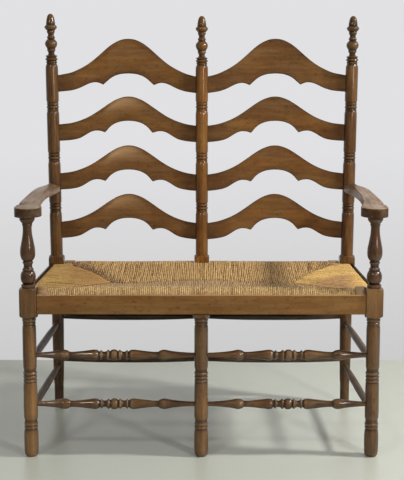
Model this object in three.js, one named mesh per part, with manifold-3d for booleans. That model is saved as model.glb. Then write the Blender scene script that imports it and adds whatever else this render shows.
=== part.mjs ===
// A ladder-back double chair settee: two chair backs over one rush seat, on six turned legs.
// Millimetres, +X to the right, +Y to the back, +Z up. The origin is on the floor under the middle.

import * as THREE from "three";
import { mergeVertices } from "three/addons/utils/BufferGeometryUtils.js";
import Module from "manifold-3d";

const wasm = await Module();
wasm.setup();

// Plan of the six legs
const legDepth = 516;
const frontHalfSpan = 464;
const rearHalfSpan = 449;

// Fit of the joints: the gap round every tenon, and how far a cutting solid runs past what it cuts
const clearance = 0.3;
const overrun = 30;

// Square blocks that take the seat rails
const blockBottom = 386;
const blockTop = 468;
const frontBlockWidth = 46;
const rearBlockWidth = 45.5;
const rearBlockShoulderHeight = 7;
const blockCornerShare = 1.46;

// The back leans and spreads above the blocks, for each millimetre of height
const leanShare = 0.05;
const splayShare = 0.0162;

// Rear posts, one turning each from the foot to the finial
const rearPostHeight = 1212;
const rearPostDiameter = 38.4;
const finialHeight = 158;
const ringGroupHeight = 48;
const lowestRingGroup = 621;
const topRingGroupDrop = 124;
const ringGroups = 3;

// Front posts and the centre front leg
const armUnderside = 658;
const frontLegDiameter = 38.6;
const supportDiameter = 41.2;
const supportTenonDiameter = 20;
const supportTenonLength = 15;

// Back slats: the one at the top is taller than the other three
const slatEndHeight = 50.5;
const lowestSlatBase = 525.5;
const topSlatDrop = 80;
const slatThickness = 8;
const slatBow = 14;
const slatTilt = 2;
const slatTenonDepth = 12;
const slatRise = 87;
const slatArch = 62;
const slatBump = 31;
const slatCusp = 27;
const topSlatRise = 113;
const topSlatArch = 56;
const topSlatFullness = 0.9;
const slatsInBay = 4;

// Arms. The outline in plan follows a line from the front post to the rear post.
const armThickness = 25;
const armRise = 15;
const armBlockHalfWidth = 37;
const armNose = 32;
const armEndWrap = 7;
const armTenonDiameter = 15;
const armTenonDepth = 11;

// Seat rails, wound over by the rush
const frontRailTop = 468;
const frontRailHeight = 34;
const frontRailFront = -4;
const frontRailDepth = 28;
const frontRailSlope = 17;
const rearRailTop = 452;
const rearRailHeight = 28;
const rearRailEndRise = 4;
const rearRailDepth = 28;
const sideRailDiameter = 22;
const sideRailInset = 13.5;
const sideRailFrontHeight = 428;
const sideRailRearHeight = 420;
const railTenonHeight = 16;
const railTenonWidth = 12;
const railTenonDepth = 16;
const sideRailTenonDiameter = 14;
const centreLegTenonLength = 18;
const centreLegTenonDiameter = 16;

// Facing strips that guard the rush
const frontFacingTop = 450;
const frontFacingHeight = 53;
const frontFacingThickness = 8;
const frontFacingSetback = 4;
const sideFacingTop = 452;
const sideFacingHeight = 44;
const sideFacingThickness = 5;
const sideFacingOutset = 13;
const facingHousing = 6;

// Rush seat
const rushCornerBlendShare = 0.25;
const rushThickness = 6;
const rushBareEnd = 32;
const rushSag = 22;
const rushMiddleLift = 9;
const rushBelly = 10;
const rushRoll = 9;
const rushColumns = 22;
const rushRows = 14;

// Stretchers
const tieHeightUpper = 282;
const tieHeightLower = 146;
const sideTieHeightUpper = 261;
const sideTieHeightLower = 124.5;
const ornateBallDiameter = 30.5;
const ornateEndDiameter = 13;
const rearTieEndDiameter = 16;
const rearTieDiameter = 26;
const sideTieEndDiameter = 14;
const sideTieDiameter = 21;
const stretcherStop = 6;

// Smoothness: sides of a turned post, of a block's shoulders, and of a stretcher or a peg
const postSides = 12;
const blockSides = 16;
const stretcherSides = 8;

// Derived places. The front legs stand at y = frontY and the rear legs at y = rearY.
const finialRingShare = 0.97;
const finialRingHeightShare = 0.745;
const finialBottom = rearPostHeight - finialHeight;
const finialRingRise = finialBottom + finialRingHeightShare * finialHeight - blockTop;
const backReach = legDepth + leanShare * finialRingRise + (finialRingShare * rearPostDiameter) / 2;
const frontY = (armNose - backReach) / 2;
const rearY = frontY + legDepth;
const frontBlockHalf = frontBlockWidth / 2;
const rearBlockHalf = rearBlockWidth / 2;
const rearPostRadius = rearPostDiameter / 2;
const facingFrontY = frontY - frontBlockHalf + frontFacingSetback;
const facingBackY = facingFrontY + frontFacingThickness;

// Materials
const woods = {
  post: new THREE.MeshStandardMaterial({ color: 0x6b4a2c, roughness: 0.5, metalness: 0 }),
  slat: new THREE.MeshStandardMaterial({ color: 0x7a5430, roughness: 0.45, metalness: 0 }),
  arm: new THREE.MeshStandardMaterial({ color: 0x80603f, roughness: 0.4, metalness: 0 }),
  rail: new THREE.MeshStandardMaterial({ color: 0x7d5732, roughness: 0.55, metalness: 0 }),
  stretcher: new THREE.MeshStandardMaterial({ color: 0x5f4128, roughness: 0.5, metalness: 0 }),
};
const rush = new THREE.MeshStandardMaterial({ color: 0xb49058, roughness: 0.85, metalness: 0 });

// Outlines of the turnings, as shares: first the share of the height, then the share of the diameter
const rearLegShares = [
  [0, 0.7], [0.012, 0.73], [0.1, 0.74], [0.17, 0.77], [0.34, 0.88], [0.58, 0.94], [0.95, 0.97],
];
const ringGroupShares = [[0, 0.99], [0.3, 0.87], [0.5, 0.95], [0.7, 0.87], [1, 0.99]];
const finialShares = [
  [0, 0.98], [0.04, 0.92], [0.06, 0.86], [0.11, 0.86], [0.135, 0.96], [0.17, 0.94], [0.205, 0.87],
  [0.23, 0.63], [0.265, 0.5], [0.325, 0.62], [0.4, 0.92], [0.43, 0.955], [0.465, 0.94], [0.51, 0.78],
  [0.535, 0.6], [0.57, 0.6], [0.6, 0.49], [0.65, 0.63], [0.685, 0.66], [0.7, 0.86],
  [finialRingHeightShare, finialRingShare], [0.78, 0.83], [0.82, 0.7], [0.9, 0.62], [0.95, 0.5],
  [0.98, 0.34], [1, 0],
];
const frontLegShares = [
  [0, 0.62], [0.007, 0.86], [0.022, 0.98], [0.155, 1], [0.18, 0.97], [0.207, 0.905], [0.23, 0.96],
  [0.262, 0.9], [0.285, 0.98], [0.355, 0.985], [0.54, 0.97], [0.573, 0.89], [0.596, 0.945],
  [0.617, 0.885], [0.653, 0.965], [0.92, 0.975], [0.946, 0.885], [0.963, 0.89], [0.98, 0.98], [1, 1],
];
const supportShares = [
  [0, 0.8], [0.012, 0.92], [0.042, 0.93], [0.055, 0.65], [0.085, 0.89], [0.14, 1], [0.185, 0.965],
  [0.235, 0.73], [0.27, 0.68], [0.305, 0.55], [0.355, 0.71], [0.382, 0.61], [0.42, 0.81], [0.455, 0.94],
  [0.505, 0.995], [0.57, 0.96], [0.65, 0.82], [0.72, 0.7], [0.79, 0.6], [0.88, 0.58], [0.92, 0.72],
  [0.965, 0.96], [1, 1],
];
const frontBlockShares = [
  [0, 0.83], [0.04, 1.02], [0.11, blockCornerShare], [0.89, blockCornerShare], [0.975, 1], [1, 0.83],
];
const rearBlockShares = [
  [0, 0.78], [0.07, 1.05], [0.16, blockCornerShare], [0.84, blockCornerShare], [0.93, 1.12], [1, 0.77],
];
// From the middle ball of a front stretcher out to its end: share of the half length, share of the ball
const ornateShares = [
  [0, 1], [0.03, 0.88], [0.045, 0.5], [0.062, 0.9], [0.078, 0.9], [0.09, 0.54], [0.14, 0.54],
  [0.154, 0.87], [0.168, 0.56], [0.23, 0.95], [0.28, 0.89], [0.42, 0.66], [0.51, 0.56], [0.555, 0.68],
  [0.582, 0.84], [0.6, 0.87], [0.65, 0.79], [0.75, 0.64], [0.93, 0.45],
];
const plainShares = [[0, 1], [0.35, 0.95], [0.7, 0.8], [0.93, 0.65]];

// Arm outline in plan: distance from the arm's line as a share of the block's half width, outward
// positive, then the share of the arm's length
const armOuterShares = [
  [0, 0], [0.5, 0.012], [0.83, 0.038], [0.96, 0.07], [1, 0.17], [0.48, 0.186], [0.48, 0.2], [0.95, 0.215],
  [1.02, 0.3], [1.05, 0.45], [1.08, 0.6], [1.07, 0.72], [0.96, 0.82], [0.71, 0.89], [0.51, 0.95], [0.45, 1],
];
const armInnerShares = [
  [-0.44, 1], [-0.31, 0.9], [-0.1, 0.8], [0, 0.7], [-0.01, 0.58], [-0.11, 0.46], [-0.24, 0.36],
  [-0.42, 0.26], [-0.6, 0.2], [-0.84, 0.14], [-0.97, 0.09], [-0.88, 0.05], [-0.5, 0.012],
];

// Helpers that make solids
function solidOf(geometry) {
  const bare = geometry.clone();
  bare.deleteAttribute("normal");
  bare.deleteAttribute("uv");
  const merged = mergeVertices(bare);
  const vertProperties = Float32Array.from(merged.attributes.position.array);
  const triVerts = Uint32Array.from(merged.index.array);
  return new wasm.Manifold(new wasm.Mesh({ numProp: 3, vertProperties, triVerts }));
}

function geometryOf(solid) {
  const { vertProperties, triVerts } = solid.getMesh();
  const geometry = new THREE.BufferGeometry();
  geometry.setAttribute("position", new THREE.BufferAttribute(vertProperties, 3));
  geometry.setIndex(new THREE.BufferAttribute(triVerts, 1));
  geometry.computeVertexNormals();
  return geometry;
}

const settee = new THREE.Group();

function addPiece(name, solid, material) {
  const mesh = new THREE.Mesh(geometryOf(solid), material.clone());
  mesh.name = name;
  settee.add(mesh);
}

function movePoints(geometry, move) {
  const position = geometry.attributes.position;
  const point = new THREE.Vector3();
  for (let i = 0; i < position.count; i += 1) {
    point.fromBufferAttribute(position, i);
    move(point);
    position.setXYZ(i, point.x, point.y, point.z);
  }
  return geometry;
}

function box(low, high) {
  const size = new THREE.Vector3().subVectors(high, low);
  const middle = new THREE.Vector3().addVectors(low, high).multiplyScalar(0.5);
  return new THREE.BoxGeometry(size.x, size.y, size.z).translate(middle.x, middle.y, middle.z);
}

// Points of a turned outline from a table of shares, between two heights
function outline(shares, bottom, top, diameter) {
  const height = top - bottom;
  return shares.map(([rise, width]) => new THREE.Vector2((width * diameter) / 2, bottom + rise * height));
}

function turned(points, sides) {
  const bottom = new THREE.Vector2(0, points[0].y);
  const top = new THREE.Vector2(0, points[points.length - 1].y);
  const open = points[points.length - 1].x > 0;
  const closed = open ? [bottom, ...points, top] : [bottom, ...points];
  return new THREE.LatheGeometry(closed, sides).rotateX(Math.PI / 2);
}

// A turned bar between two points: the outline gives distance from the start and radius
function bar(start, end, points, sides) {
  const direction = new THREE.Vector3().subVectors(end, start).normalize();
  const turn = new THREE.Quaternion().setFromUnitVectors(new THREE.Vector3(0, 0, 1), direction);
  const geometry = turned(points, sides);
  geometry.applyQuaternion(turn);
  return geometry.translate(start.x, start.y, start.z);
}

function peg(start, end, diameter, sides) {
  const length = start.distanceTo(end);
  const radius = diameter / 2;
  return solidOf(bar(start, end, [new THREE.Vector2(radius, 0), new THREE.Vector2(radius, length)], sides));
}

// A closed strip from columns of four corners: low front, low back, high back, high front
function strip(columns) {
  const corners = columns.flat();
  const last = (columns.length - 1) * 4;
  const index = [0, 2, 1, 0, 3, 2, last, last + 1, last + 2, last, last + 2, last + 3];
  for (let c = 0; c < columns.length - 1; c += 1) {
    for (let side = 0; side < 4; side += 1) {
      const a = c * 4 + side;
      const b = c * 4 + ((side + 1) % 4);
      index.push(a, b, b + 4, a, b + 4, a + 4);
    }
  }
  const geometry = new THREE.BufferGeometry().setFromPoints(corners);
  geometry.setIndex(index);
  return geometry;
}

// How far a point of the back is carried back and outward above the blocks
function above(height) {
  return Math.max(0, height - blockTop);
}

function leanBack(geometry, side) {
  return movePoints(geometry, (point) => {
    point.x += side * splayShare * above(point.z);
    point.y += leanShare * above(point.z);
  });
}

function cutAll(solid, tools) {
  return tools.reduce((rest, tool) => rest.subtract(tool), solid);
}

// Round sockets for the stretchers, kept with the post that they are cut in
const sockets = {
  rear_left: [],
  rear_centre: [],
  rear_right: [],
  front_left: [],
  front_centre: [],
  front_right: [],
};

const postAxis = {
  rear_left: new THREE.Vector3(-rearHalfSpan, rearY, 0),
  rear_centre: new THREE.Vector3(0, rearY, 0),
  rear_right: new THREE.Vector3(rearHalfSpan, rearY, 0),
  front_left: new THREE.Vector3(-frontHalfSpan, frontY, 0),
  front_centre: new THREE.Vector3(0, frontY, 0),
  front_right: new THREE.Vector3(frontHalfSpan, frontY, 0),
};

// Stretchers: a turning whose ends are pushed into round sockets in two posts
function halfOutline(shares, halfLength, diameter, endRadius) {
  const half = shares.map(([along, width]) => new THREE.Vector2((width * diameter) / 2, along * halfLength));
  half.push(new THREE.Vector2(endRadius, halfLength - rearPostRadius + stretcherStop));
  half.push(new THREE.Vector2(endRadius, halfLength));
  const outward = half.map((p) => new THREE.Vector2(p.x, halfLength + p.y));
  const inward = half.slice(1).reverse().map((p) => new THREE.Vector2(p.x, halfLength - p.y));
  return [...inward, ...outward];
}

function addStretcher(name, from, to, height, shares, diameter, endDiameter) {
  const start = postAxis[from].clone().setZ(height);
  const end = postAxis[to].clone().setZ(height);
  const along = new THREE.Vector3().subVectors(end, start).normalize();
  const first = start.clone().addScaledVector(along, stretcherStop);
  const last = end.clone().addScaledVector(along, -stretcherStop);
  const points = halfOutline(shares, first.distanceTo(last) / 2, diameter, endDiameter / 2);
  addPiece(name, solidOf(bar(first, last, points, stretcherSides)), woods.stretcher);

  const socketDiameter = endDiameter + 2 * clearance;
  const mouth = rearPostDiameter;
  const firstBottom = first.clone().addScaledVector(along, -clearance);
  const lastBottom = last.clone().addScaledVector(along, clearance);
  const firstMouth = start.clone().addScaledVector(along, mouth);
  const lastMouth = end.clone().addScaledVector(along, -mouth);
  sockets[from].push(peg(firstBottom, firstMouth, socketDiameter, stretcherSides));
  sockets[to].push(peg(lastMouth, lastBottom, socketDiameter, stretcherSides));
}

for (const side of ["left", "right"]) {
  for (const [level, height] of [["upper", tieHeightUpper], ["lower", tieHeightLower]]) {
    addStretcher(
      `front_stretcher_${level}_${side}`, `front_${side}`, "front_centre", height,
      ornateShares, ornateBallDiameter, ornateEndDiameter,
    );
    addStretcher(
      `rear_stretcher_${level}_${side}`, `rear_${side}`, "rear_centre", height,
      plainShares, rearTieDiameter, rearTieEndDiameter,
    );
  }
}
for (const side of ["left", "centre", "right"]) {
  for (const [level, height] of [["upper", sideTieHeightUpper], ["lower", sideTieHeightLower]]) {
    const name = side === "centre" ? `centre_stretcher_${level}` : `side_stretcher_${level}_${side}`;
    addStretcher(
      name, `front_${side}`, `rear_${side}`, height,
      plainShares, sideTieDiameter, sideTieEndDiameter,
    );
  }
}

// Slats
const cuspShare = 0.362;
const bumpShare = 0.48;
const endShare = 0.89;
const archPower = 2.55;
// From a slat's middle to its end: share of the half length, share of the rise of the top edge
const slatTopShares = [
  [0, 1], [0.08, 0.982], [0.16, 0.925], [0.24, 0.83], [0.31, 0.72], [cuspShare, 0.638], [0.425, 0.537],
  [bumpShare, 0.45], [0.56, 0.325], [0.64, 0.227], [0.73, 0.141], [0.83, 0.068], [0.91, 0.028], [1, 0],
];

function slatBottom(share, arch) {
  if (share < cuspShare) {
    return arch - (arch - slatCusp) * (share / cuspShare) ** archPower;
  }
  if (share < bumpShare) {
    const part = (share - cuspShare) / (bumpShare - cuspShare);
    return slatCusp + (slatBump - slatCusp) * Math.sin((Math.PI / 2) * part);
  }
  const fall = Math.min(1, (share - bumpShare) / (endShare - bumpShare));
  return slatBump * (0.5 + 0.5 * Math.cos(Math.PI * fall));
}

// Each slat fills its bay, and the four are spaced evenly up to the finials
const slatHalfLength = (rearHalfSpan - rearPostDiameter) / 2;
const slatMiddle = rearPostRadius + slatHalfLength;
const slatPitch = (finialBottom - topSlatDrop - lowestSlatBase) / (slatsInBay - 1);

function slatPoint(side, x, height, offset) {
  const share = Math.min(1, Math.abs(x - slatMiddle) / slatHalfLength);
  const bow = slatBow * (1 - share * share);
  return new THREE.Vector3(side * x, rearY + leanShare * above(height) + bow + offset, height);
}

function slatSolid(side, slat, grow) {
  const half = slatThickness / 2 + grow;
  const column = (placeAt, [share, rising], tilt) => {
    const low = slat.base + tilt + slatBottom(share, slat.arch) - grow;
    const high = slat.base + tilt + slatEndHeight + slat.rise * rising ** slat.fullness + grow;
    return [[low, -half], [low, half], [high, half], [high, -half]]
      .map(([height, offset]) => slatPoint(side, placeAt(height), height, offset));
  };
  const stepFrom = (sign) => (row) => {
    const along = sign * row[0];
    return column(() => slatMiddle + along * slatHalfLength, row, along * slatTilt);
  };
  const end = slatTopShares[slatTopShares.length - 1];
  const innerEnd = rearPostRadius - slatTenonDepth - grow;
  const outerEnd = (height) => rearHalfSpan + splayShare * above(height) - innerEnd;
  const columns = [
    column(() => innerEnd, end, -slatTilt),
    ...slatTopShares.slice(1).reverse().map(stepFrom(-1)),
    ...slatTopShares.map(stepFrom(1)),
    column(outerEnd, end, slatTilt),
  ];
  return solidOf(strip(side > 0 ? columns : columns.reverse()));
}

const slatMortises = [];
for (const [sideName, side] of [["left", -1], ["right", 1]]) {
  for (let number = 1; number <= slatsInBay; number += 1) {
    const base = lowestSlatBase + (slatsInBay - number) * slatPitch;
    const slat = number === 1
      ? { base, rise: topSlatRise, arch: topSlatArch, fullness: topSlatFullness }
      : { base, rise: slatRise, arch: slatArch, fullness: 1 };
    addPiece(`slat_${sideName}_${number}`, slatSolid(side, slat, 0), woods.slat);
    slatMortises.push({ side, tool: slatSolid(side, slat, clearance) });
  }
}

// Seat rails and facing strips
const frontRailLow = frontRailTop - frontRailHeight;
const frontRailBackY = frontY + frontRailFront + frontRailDepth;
const frontRailFrontY = frontY + frontRailFront;
const frontRailEndX = frontHalfSpan - frontBlockHalf - clearance;
const rushEndX = frontHalfSpan - frontBlockHalf - rushBareEnd;

function frontRailSection(frontFace, fromX, toX) {
  const slopeBack = frontRailFrontY + frontRailDepth / 2;
  const shape = new THREE.Shape([
    new THREE.Vector2(frontFace, frontRailLow), new THREE.Vector2(frontRailBackY, frontRailLow),
    new THREE.Vector2(frontRailBackY, frontRailTop), new THREE.Vector2(slopeBack, frontRailTop),
    new THREE.Vector2(frontFace, frontRailTop - frontRailSlope),
  ]);
  const geometry = new THREE.ExtrudeGeometry(shape, { depth: toX - fromX, bevelEnabled: false });
  // the section is drawn in y and z, and runs along x
  const place = new THREE.Matrix4().set(0, 0, 1, fromX, 1, 0, 0, 0, 0, 1, 0, 0, 0, 0, 0, 1);
  return solidOf(geometry.applyMatrix4(place));
}

function railTenon(low, high, middleY, middleZ, grow) {
  const halfWidth = railTenonWidth / 2 + grow;
  const halfHeight = railTenonHeight / 2 + grow;
  return solidOf(box(
    new THREE.Vector3(low, middleY - halfWidth, middleZ - halfHeight),
    new THREE.Vector3(high, middleY + halfWidth, middleZ + halfHeight),
  ));
}

const frontTenonY = frontRailFrontY + frontRailDepth / 2;
const frontTenonZ = frontRailLow + frontRailHeight / 2;
const frontTenonX = frontHalfSpan - frontBlockHalf + railTenonDepth;
const centreTenonTop = frontRailLow + centreLegTenonLength;
const centreTenonStart = new THREE.Vector3(0, frontTenonY, blockBottom + overrun);

function centreTenon(grow) {
  const end = new THREE.Vector3(0, frontTenonY, centreTenonTop + grow);
  return peg(centreTenonStart, end, centreLegTenonDiameter + 2 * grow, stretcherSides);
}

const frontRail = frontRailSection(frontRailFrontY, -frontRailEndX, frontRailEndX)
  .add(frontRailSection(facingBackY + clearance, -frontRailEndX, -rushEndX - clearance))
  .add(frontRailSection(facingBackY + clearance, rushEndX + clearance, frontRailEndX))
  .add(railTenon(-frontTenonX, frontTenonX, frontTenonY, frontTenonZ, 0))
  .subtract(centreTenon(clearance));
addPiece("front_seat_rail", frontRail, woods.rail);
const frontMortiseX = frontTenonX + clearance;
const frontRailMortises = railTenon(-frontMortiseX, frontMortiseX, frontTenonY, frontTenonZ, clearance);

const rearRailZ = rearRailTop - rearRailHeight / 2;
const rearRailInner = rearBlockHalf + clearance;
const rearRailOuter = rearHalfSpan - rearBlockHalf - clearance;
const rearTenonInner = rearBlockHalf - railTenonDepth;
const rearTenonOuter = rearHalfSpan - rearTenonInner;

function rearRailPart(side, inner, outer, top) {
  const [low, high] = side > 0 ? [inner, outer] : [-outer, -inner];
  return solidOf(box(
    new THREE.Vector3(low, rearY - rearRailDepth / 2, rearRailTop - rearRailHeight),
    new THREE.Vector3(high, rearY + rearRailDepth / 2, top),
  ));
}

// The rail is full height where it is bare, beside the side post, and lower where the rush goes round it
function rearRail(side) {
  const bareInner = rearHalfSpan - rearBlockHalf - rushBareEnd + clearance;
  return rearRailPart(side, rearRailInner, rearRailOuter, rearRailTop)
    .add(rearRailPart(side, bareInner, rearRailOuter, rearRailTop + rearRailEndRise));
}

function rearRailTenon(side, grow) {
  const ends = [side * (rearTenonInner - grow), side * (rearTenonOuter + grow)];
  return railTenon(Math.min(...ends), Math.max(...ends), rearY, rearRailZ, grow);
}

function sideRailPoint(side, share, tuck) {
  const firstY = frontY + frontBlockHalf - railTenonDepth - tuck;
  const lastY = rearY - rearBlockHalf + railTenonDepth + tuck;
  const y = THREE.MathUtils.lerp(firstY, lastY, share);
  const halfSpan = frontHalfSpan + ((y - frontY) / legDepth) * (rearHalfSpan - frontHalfSpan);
  const z = sideRailFrontHeight + share * (sideRailRearHeight - sideRailFrontHeight);
  return new THREE.Vector3(side * (halfSpan - sideRailInset), y, z);
}

function sideRail(side) {
  const start = sideRailPoint(side, 0, 0);
  const end = sideRailPoint(side, 1, 0);
  const length = start.distanceTo(end);
  const shoulder = railTenonDepth + clearance;
  const points = [
    new THREE.Vector2(sideRailTenonDiameter / 2, 0), new THREE.Vector2(sideRailTenonDiameter / 2, shoulder),
    new THREE.Vector2(sideRailDiameter / 2, shoulder + rushRoll),
    new THREE.Vector2(sideRailDiameter / 2, length - shoulder - rushRoll),
    new THREE.Vector2(sideRailTenonDiameter / 2, length - shoulder),
    new THREE.Vector2(sideRailTenonDiameter / 2, length),
  ];
  return solidOf(bar(start, end, points, stretcherSides));
}

function sideRailMortise(side) {
  const start = sideRailPoint(side, 0, clearance);
  const end = sideRailPoint(side, 1, clearance);
  return peg(start, end, sideRailTenonDiameter + 2 * clearance, stretcherSides);
}

function frontFacing(grow) {
  const end = frontHalfSpan - frontBlockHalf + facingHousing + grow;
  return solidOf(box(
    new THREE.Vector3(-end, facingFrontY - grow, frontFacingTop - frontFacingHeight - grow),
    new THREE.Vector3(end, facingBackY + grow, frontFacingTop + grow),
  ));
}

function sideFacing(side, grow) {
  const fromY = frontY + frontBlockHalf - facingHousing - grow;
  const toY = rearY - rearBlockHalf + facingHousing + grow;
  const half = sideFacingThickness / 2 + grow;
  const columns = [fromY, toY].map((y) => {
    const halfSpan = frontHalfSpan + ((y - frontY) / legDepth) * (rearHalfSpan - frontHalfSpan);
    const middle = side * (halfSpan + sideFacingOutset);
    const low = sideFacingTop - sideFacingHeight - grow;
    const high = sideFacingTop + grow;
    return [
      new THREE.Vector3(middle + half, y, low), new THREE.Vector3(middle - half, y, low),
      new THREE.Vector3(middle - half, y, high), new THREE.Vector3(middle + half, y, high),
    ];
  });
  return solidOf(strip(columns));
}

const frontFacingHousing = frontFacing(clearance);
addPiece("front_facing", frontFacing(0), woods.rail);
for (const [sideName, side] of [["left", -1], ["right", 1]]) {
  addPiece(`rear_seat_rail_${sideName}`, rearRail(side).add(rearRailTenon(side, 0)), woods.rail);
  addPiece(`side_seat_rail_${sideName}`, sideRail(side), woods.rail);
  addPiece(`side_facing_${sideName}`, sideFacing(side, 0), woods.rail);
}

// Arms: a shaped board that is let onto the front post and into the rear post
const armLength = armNose + legDepth - rearPostRadius;

function armRiseAt(y) {
  const flatEnd = frontY + frontBlockHalf;
  return armRise * Math.max(0, (y - flatEnd) / (rearY - rearPostRadius - flatEnd));
}

function armOutline(side) {
  const rearSpan = rearHalfSpan + splayShare * above(armUnderside);
  const toPoint = ([outward, along]) => new THREE.Vector2(
    side * (THREE.MathUtils.lerp(frontHalfSpan, rearSpan, along) + outward * armBlockHalfWidth),
    frontY - armNose + along * armLength,
  );
  const outer = armOuterShares.map(toPoint);
  const inner = armInnerShares.map(toPoint);
  const wrapDepth = leanShare * above(armUnderside) + armEndWrap;
  const wrap = [outer[outer.length - 1], inner[0]].map((p) => p.clone().setY(p.y + wrapDepth));
  return [...outer, ...wrap, ...inner];
}

function leaningPost(side, diameter, bottom, top) {
  const points = [new THREE.Vector2(diameter / 2, bottom), new THREE.Vector2(diameter / 2, top)];
  const geometry = leanBack(turned(points, postSides), side);
  return solidOf(geometry.translate(side * rearHalfSpan, rearY, 0));
}

function armTenon(side, grow) {
  const z = armUnderside + clearance + armRise + armThickness / 2;
  const x = side * (rearHalfSpan + splayShare * above(z));
  const y = rearY + leanShare * above(z);
  const start = new THREE.Vector3(x, y - rearPostDiameter - overrun, z);
  const end = new THREE.Vector3(x, y - rearPostRadius + armTenonDepth + grow, z);
  return peg(start, end, armTenonDiameter + 2 * grow, stretcherSides);
}

function supportTenon(side, grow) {
  const start = new THREE.Vector3(side * frontHalfSpan, frontY, armUnderside - overrun / 2);
  const end = new THREE.Vector3(side * frontHalfSpan, frontY, armUnderside + supportTenonLength + grow);
  return peg(start, end, supportTenonDiameter + 2 * grow, stretcherSides);
}

function arm(side) {
  const points = armOutline(side);
  const board = { depth: armThickness, bevelEnabled: false };
  const geometry = new THREE.ExtrudeGeometry(new THREE.Shape(points), board);
  geometry.translate(0, 0, armUnderside + clearance);
  movePoints(geometry, (point) => {
    point.z += armRiseAt(point.y);
  });
  const postBottom = armUnderside - overrun;
  const postTop = armUnderside + armRise + armThickness + overrun;
  const post = leaningPost(side, rearPostDiameter + 2 * clearance, postBottom, postTop);
  return solidOf(geometry).subtract(post).add(armTenon(side, 0)).subtract(supportTenon(side, clearance));
}

for (const [sideName, side] of [["left", -1], ["right", 1]]) {
  addPiece(`arm_${sideName}`, arm(side), woods.arm);
}

// Turned posts
function block(shares, width, bottom, top) {
  const half = width / 2;
  const square = solidOf(box(new THREE.Vector3(-half, -half, bottom), new THREE.Vector3(half, half, top)));
  return square.intersect(solidOf(turned(outline(shares, bottom, top, width), blockSides)));
}

const ringGroupPitch = (finialBottom - topRingGroupDrop - lowestRingGroup) / (ringGroups - 1);

function rearPost(side) {
  const points = outline(rearLegShares, 0, blockBottom, rearPostDiameter);
  for (let group = 0; group < ringGroups; group += 1) {
    const low = lowestRingGroup + group * ringGroupPitch - ringGroupHeight / 2;
    points.push(...outline(ringGroupShares, low, low + ringGroupHeight, rearPostDiameter));
  }
  points.push(...outline(finialShares, finialBottom, rearPostHeight, rearPostDiameter));
  // a ring at the top of the block keeps the leg below it straight
  const bend = points.findIndex((p) => p.y > blockTop);
  points.splice(bend, 0, new THREE.Vector2(rearPostRadius, blockTop));
  const core = solidOf(leanBack(turned(points, postSides), side));
  const shoulderTop = blockTop + rearBlockShoulderHeight;
  return core.add(block(rearBlockShares, rearBlockWidth, blockBottom, shoulderTop));
}

function frontLeg() {
  const points = outline(frontLegShares, 0, blockBottom + clearance, frontLegDiameter);
  return solidOf(turned(points, postSides));
}

function placed(solid, key) {
  return solid.translate([postAxis[key].x, postAxis[key].y, 0]);
}

function frontPost(side) {
  const key = side > 0 ? "front_right" : "front_left";
  const supportPoints = outline(supportShares, blockTop - clearance, armUnderside, supportDiameter);
  const squareBlock = block(frontBlockShares, frontBlockWidth, blockBottom, blockTop);
  const turning = frontLeg().add(squareBlock).add(solidOf(turned(supportPoints, postSides)));
  const whole = placed(turning, key).add(supportTenon(side, 0));
  const tools = [
    ...sockets[key], frontRailMortises, sideRailMortise(side), frontFacingHousing,
    sideFacing(side, clearance),
  ];
  return cutAll(whole, tools);
}

for (const [sideName, side] of [["left", -1], ["right", 1]]) {
  const key = `rear_${sideName}`;
  const mortises = slatMortises.filter((slat) => slat.side === side).map((slat) => slat.tool);
  const tools = [
    ...sockets[key], ...mortises, rearRailTenon(side, clearance), sideRailMortise(side),
    sideFacing(side, clearance), armTenon(side, clearance),
  ];
  addPiece(`rear_post_${sideName}`, cutAll(placed(rearPost(side), key), tools), woods.post);
  addPiece(`front_post_${sideName}`, frontPost(side), woods.post);
}

const centreTools = [
  ...sockets.rear_centre, ...slatMortises.map((slat) => slat.tool),
  rearRailTenon(-1, clearance), rearRailTenon(1, clearance),
];
addPiece("rear_post_centre", cutAll(placed(rearPost(0), "rear_centre"), centreTools), woods.post);

// The centre front leg ends under the front rail, behind the facing strip
const centreBlockTop = frontRailLow - clearance;

function centreBlockSpace(grow) {
  return solidOf(box(
    new THREE.Vector3(-frontBlockHalf - grow, facingBackY + clearance, blockBottom),
    new THREE.Vector3(frontBlockHalf + grow, frontY + frontBlockHalf + grow, centreBlockTop + grow),
  ));
}

const centreBlock = placed(block(frontBlockShares, frontBlockWidth, blockBottom, blockTop), "front_centre")
  .intersect(centreBlockSpace(0));
const centreLeg = placed(frontLeg(), "front_centre")
  .add(centreBlock)
  .subtract(frontFacing(clearance))
  .add(centreTenon(0));
addPiece("front_leg_centre", cutAll(centreLeg, sockets.front_centre), woods.post);

// Rush seat: one weave over all the rails, lowest under the two sitters, hollow where the rails pass
const rushFrontY = frontRailFrontY - rushThickness;
const rushRearY = rearY + rearRailDepth / 2 + rushThickness;
const frontRushTop = frontRailTop + rushThickness;
const rearRushTop = rearRailTop + rushThickness;
const rushUnderside = sideRailRearHeight - sideRailDiameter / 2 - rushThickness;

function rushHalfWidth(y) {
  const share = (y - frontY) / legDepth;
  const halfSpan = frontHalfSpan + share * (rearHalfSpan - frontHalfSpan);
  return halfSpan + sideFacingOutset - sideFacingThickness / 2 - clearance;
}

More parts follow.
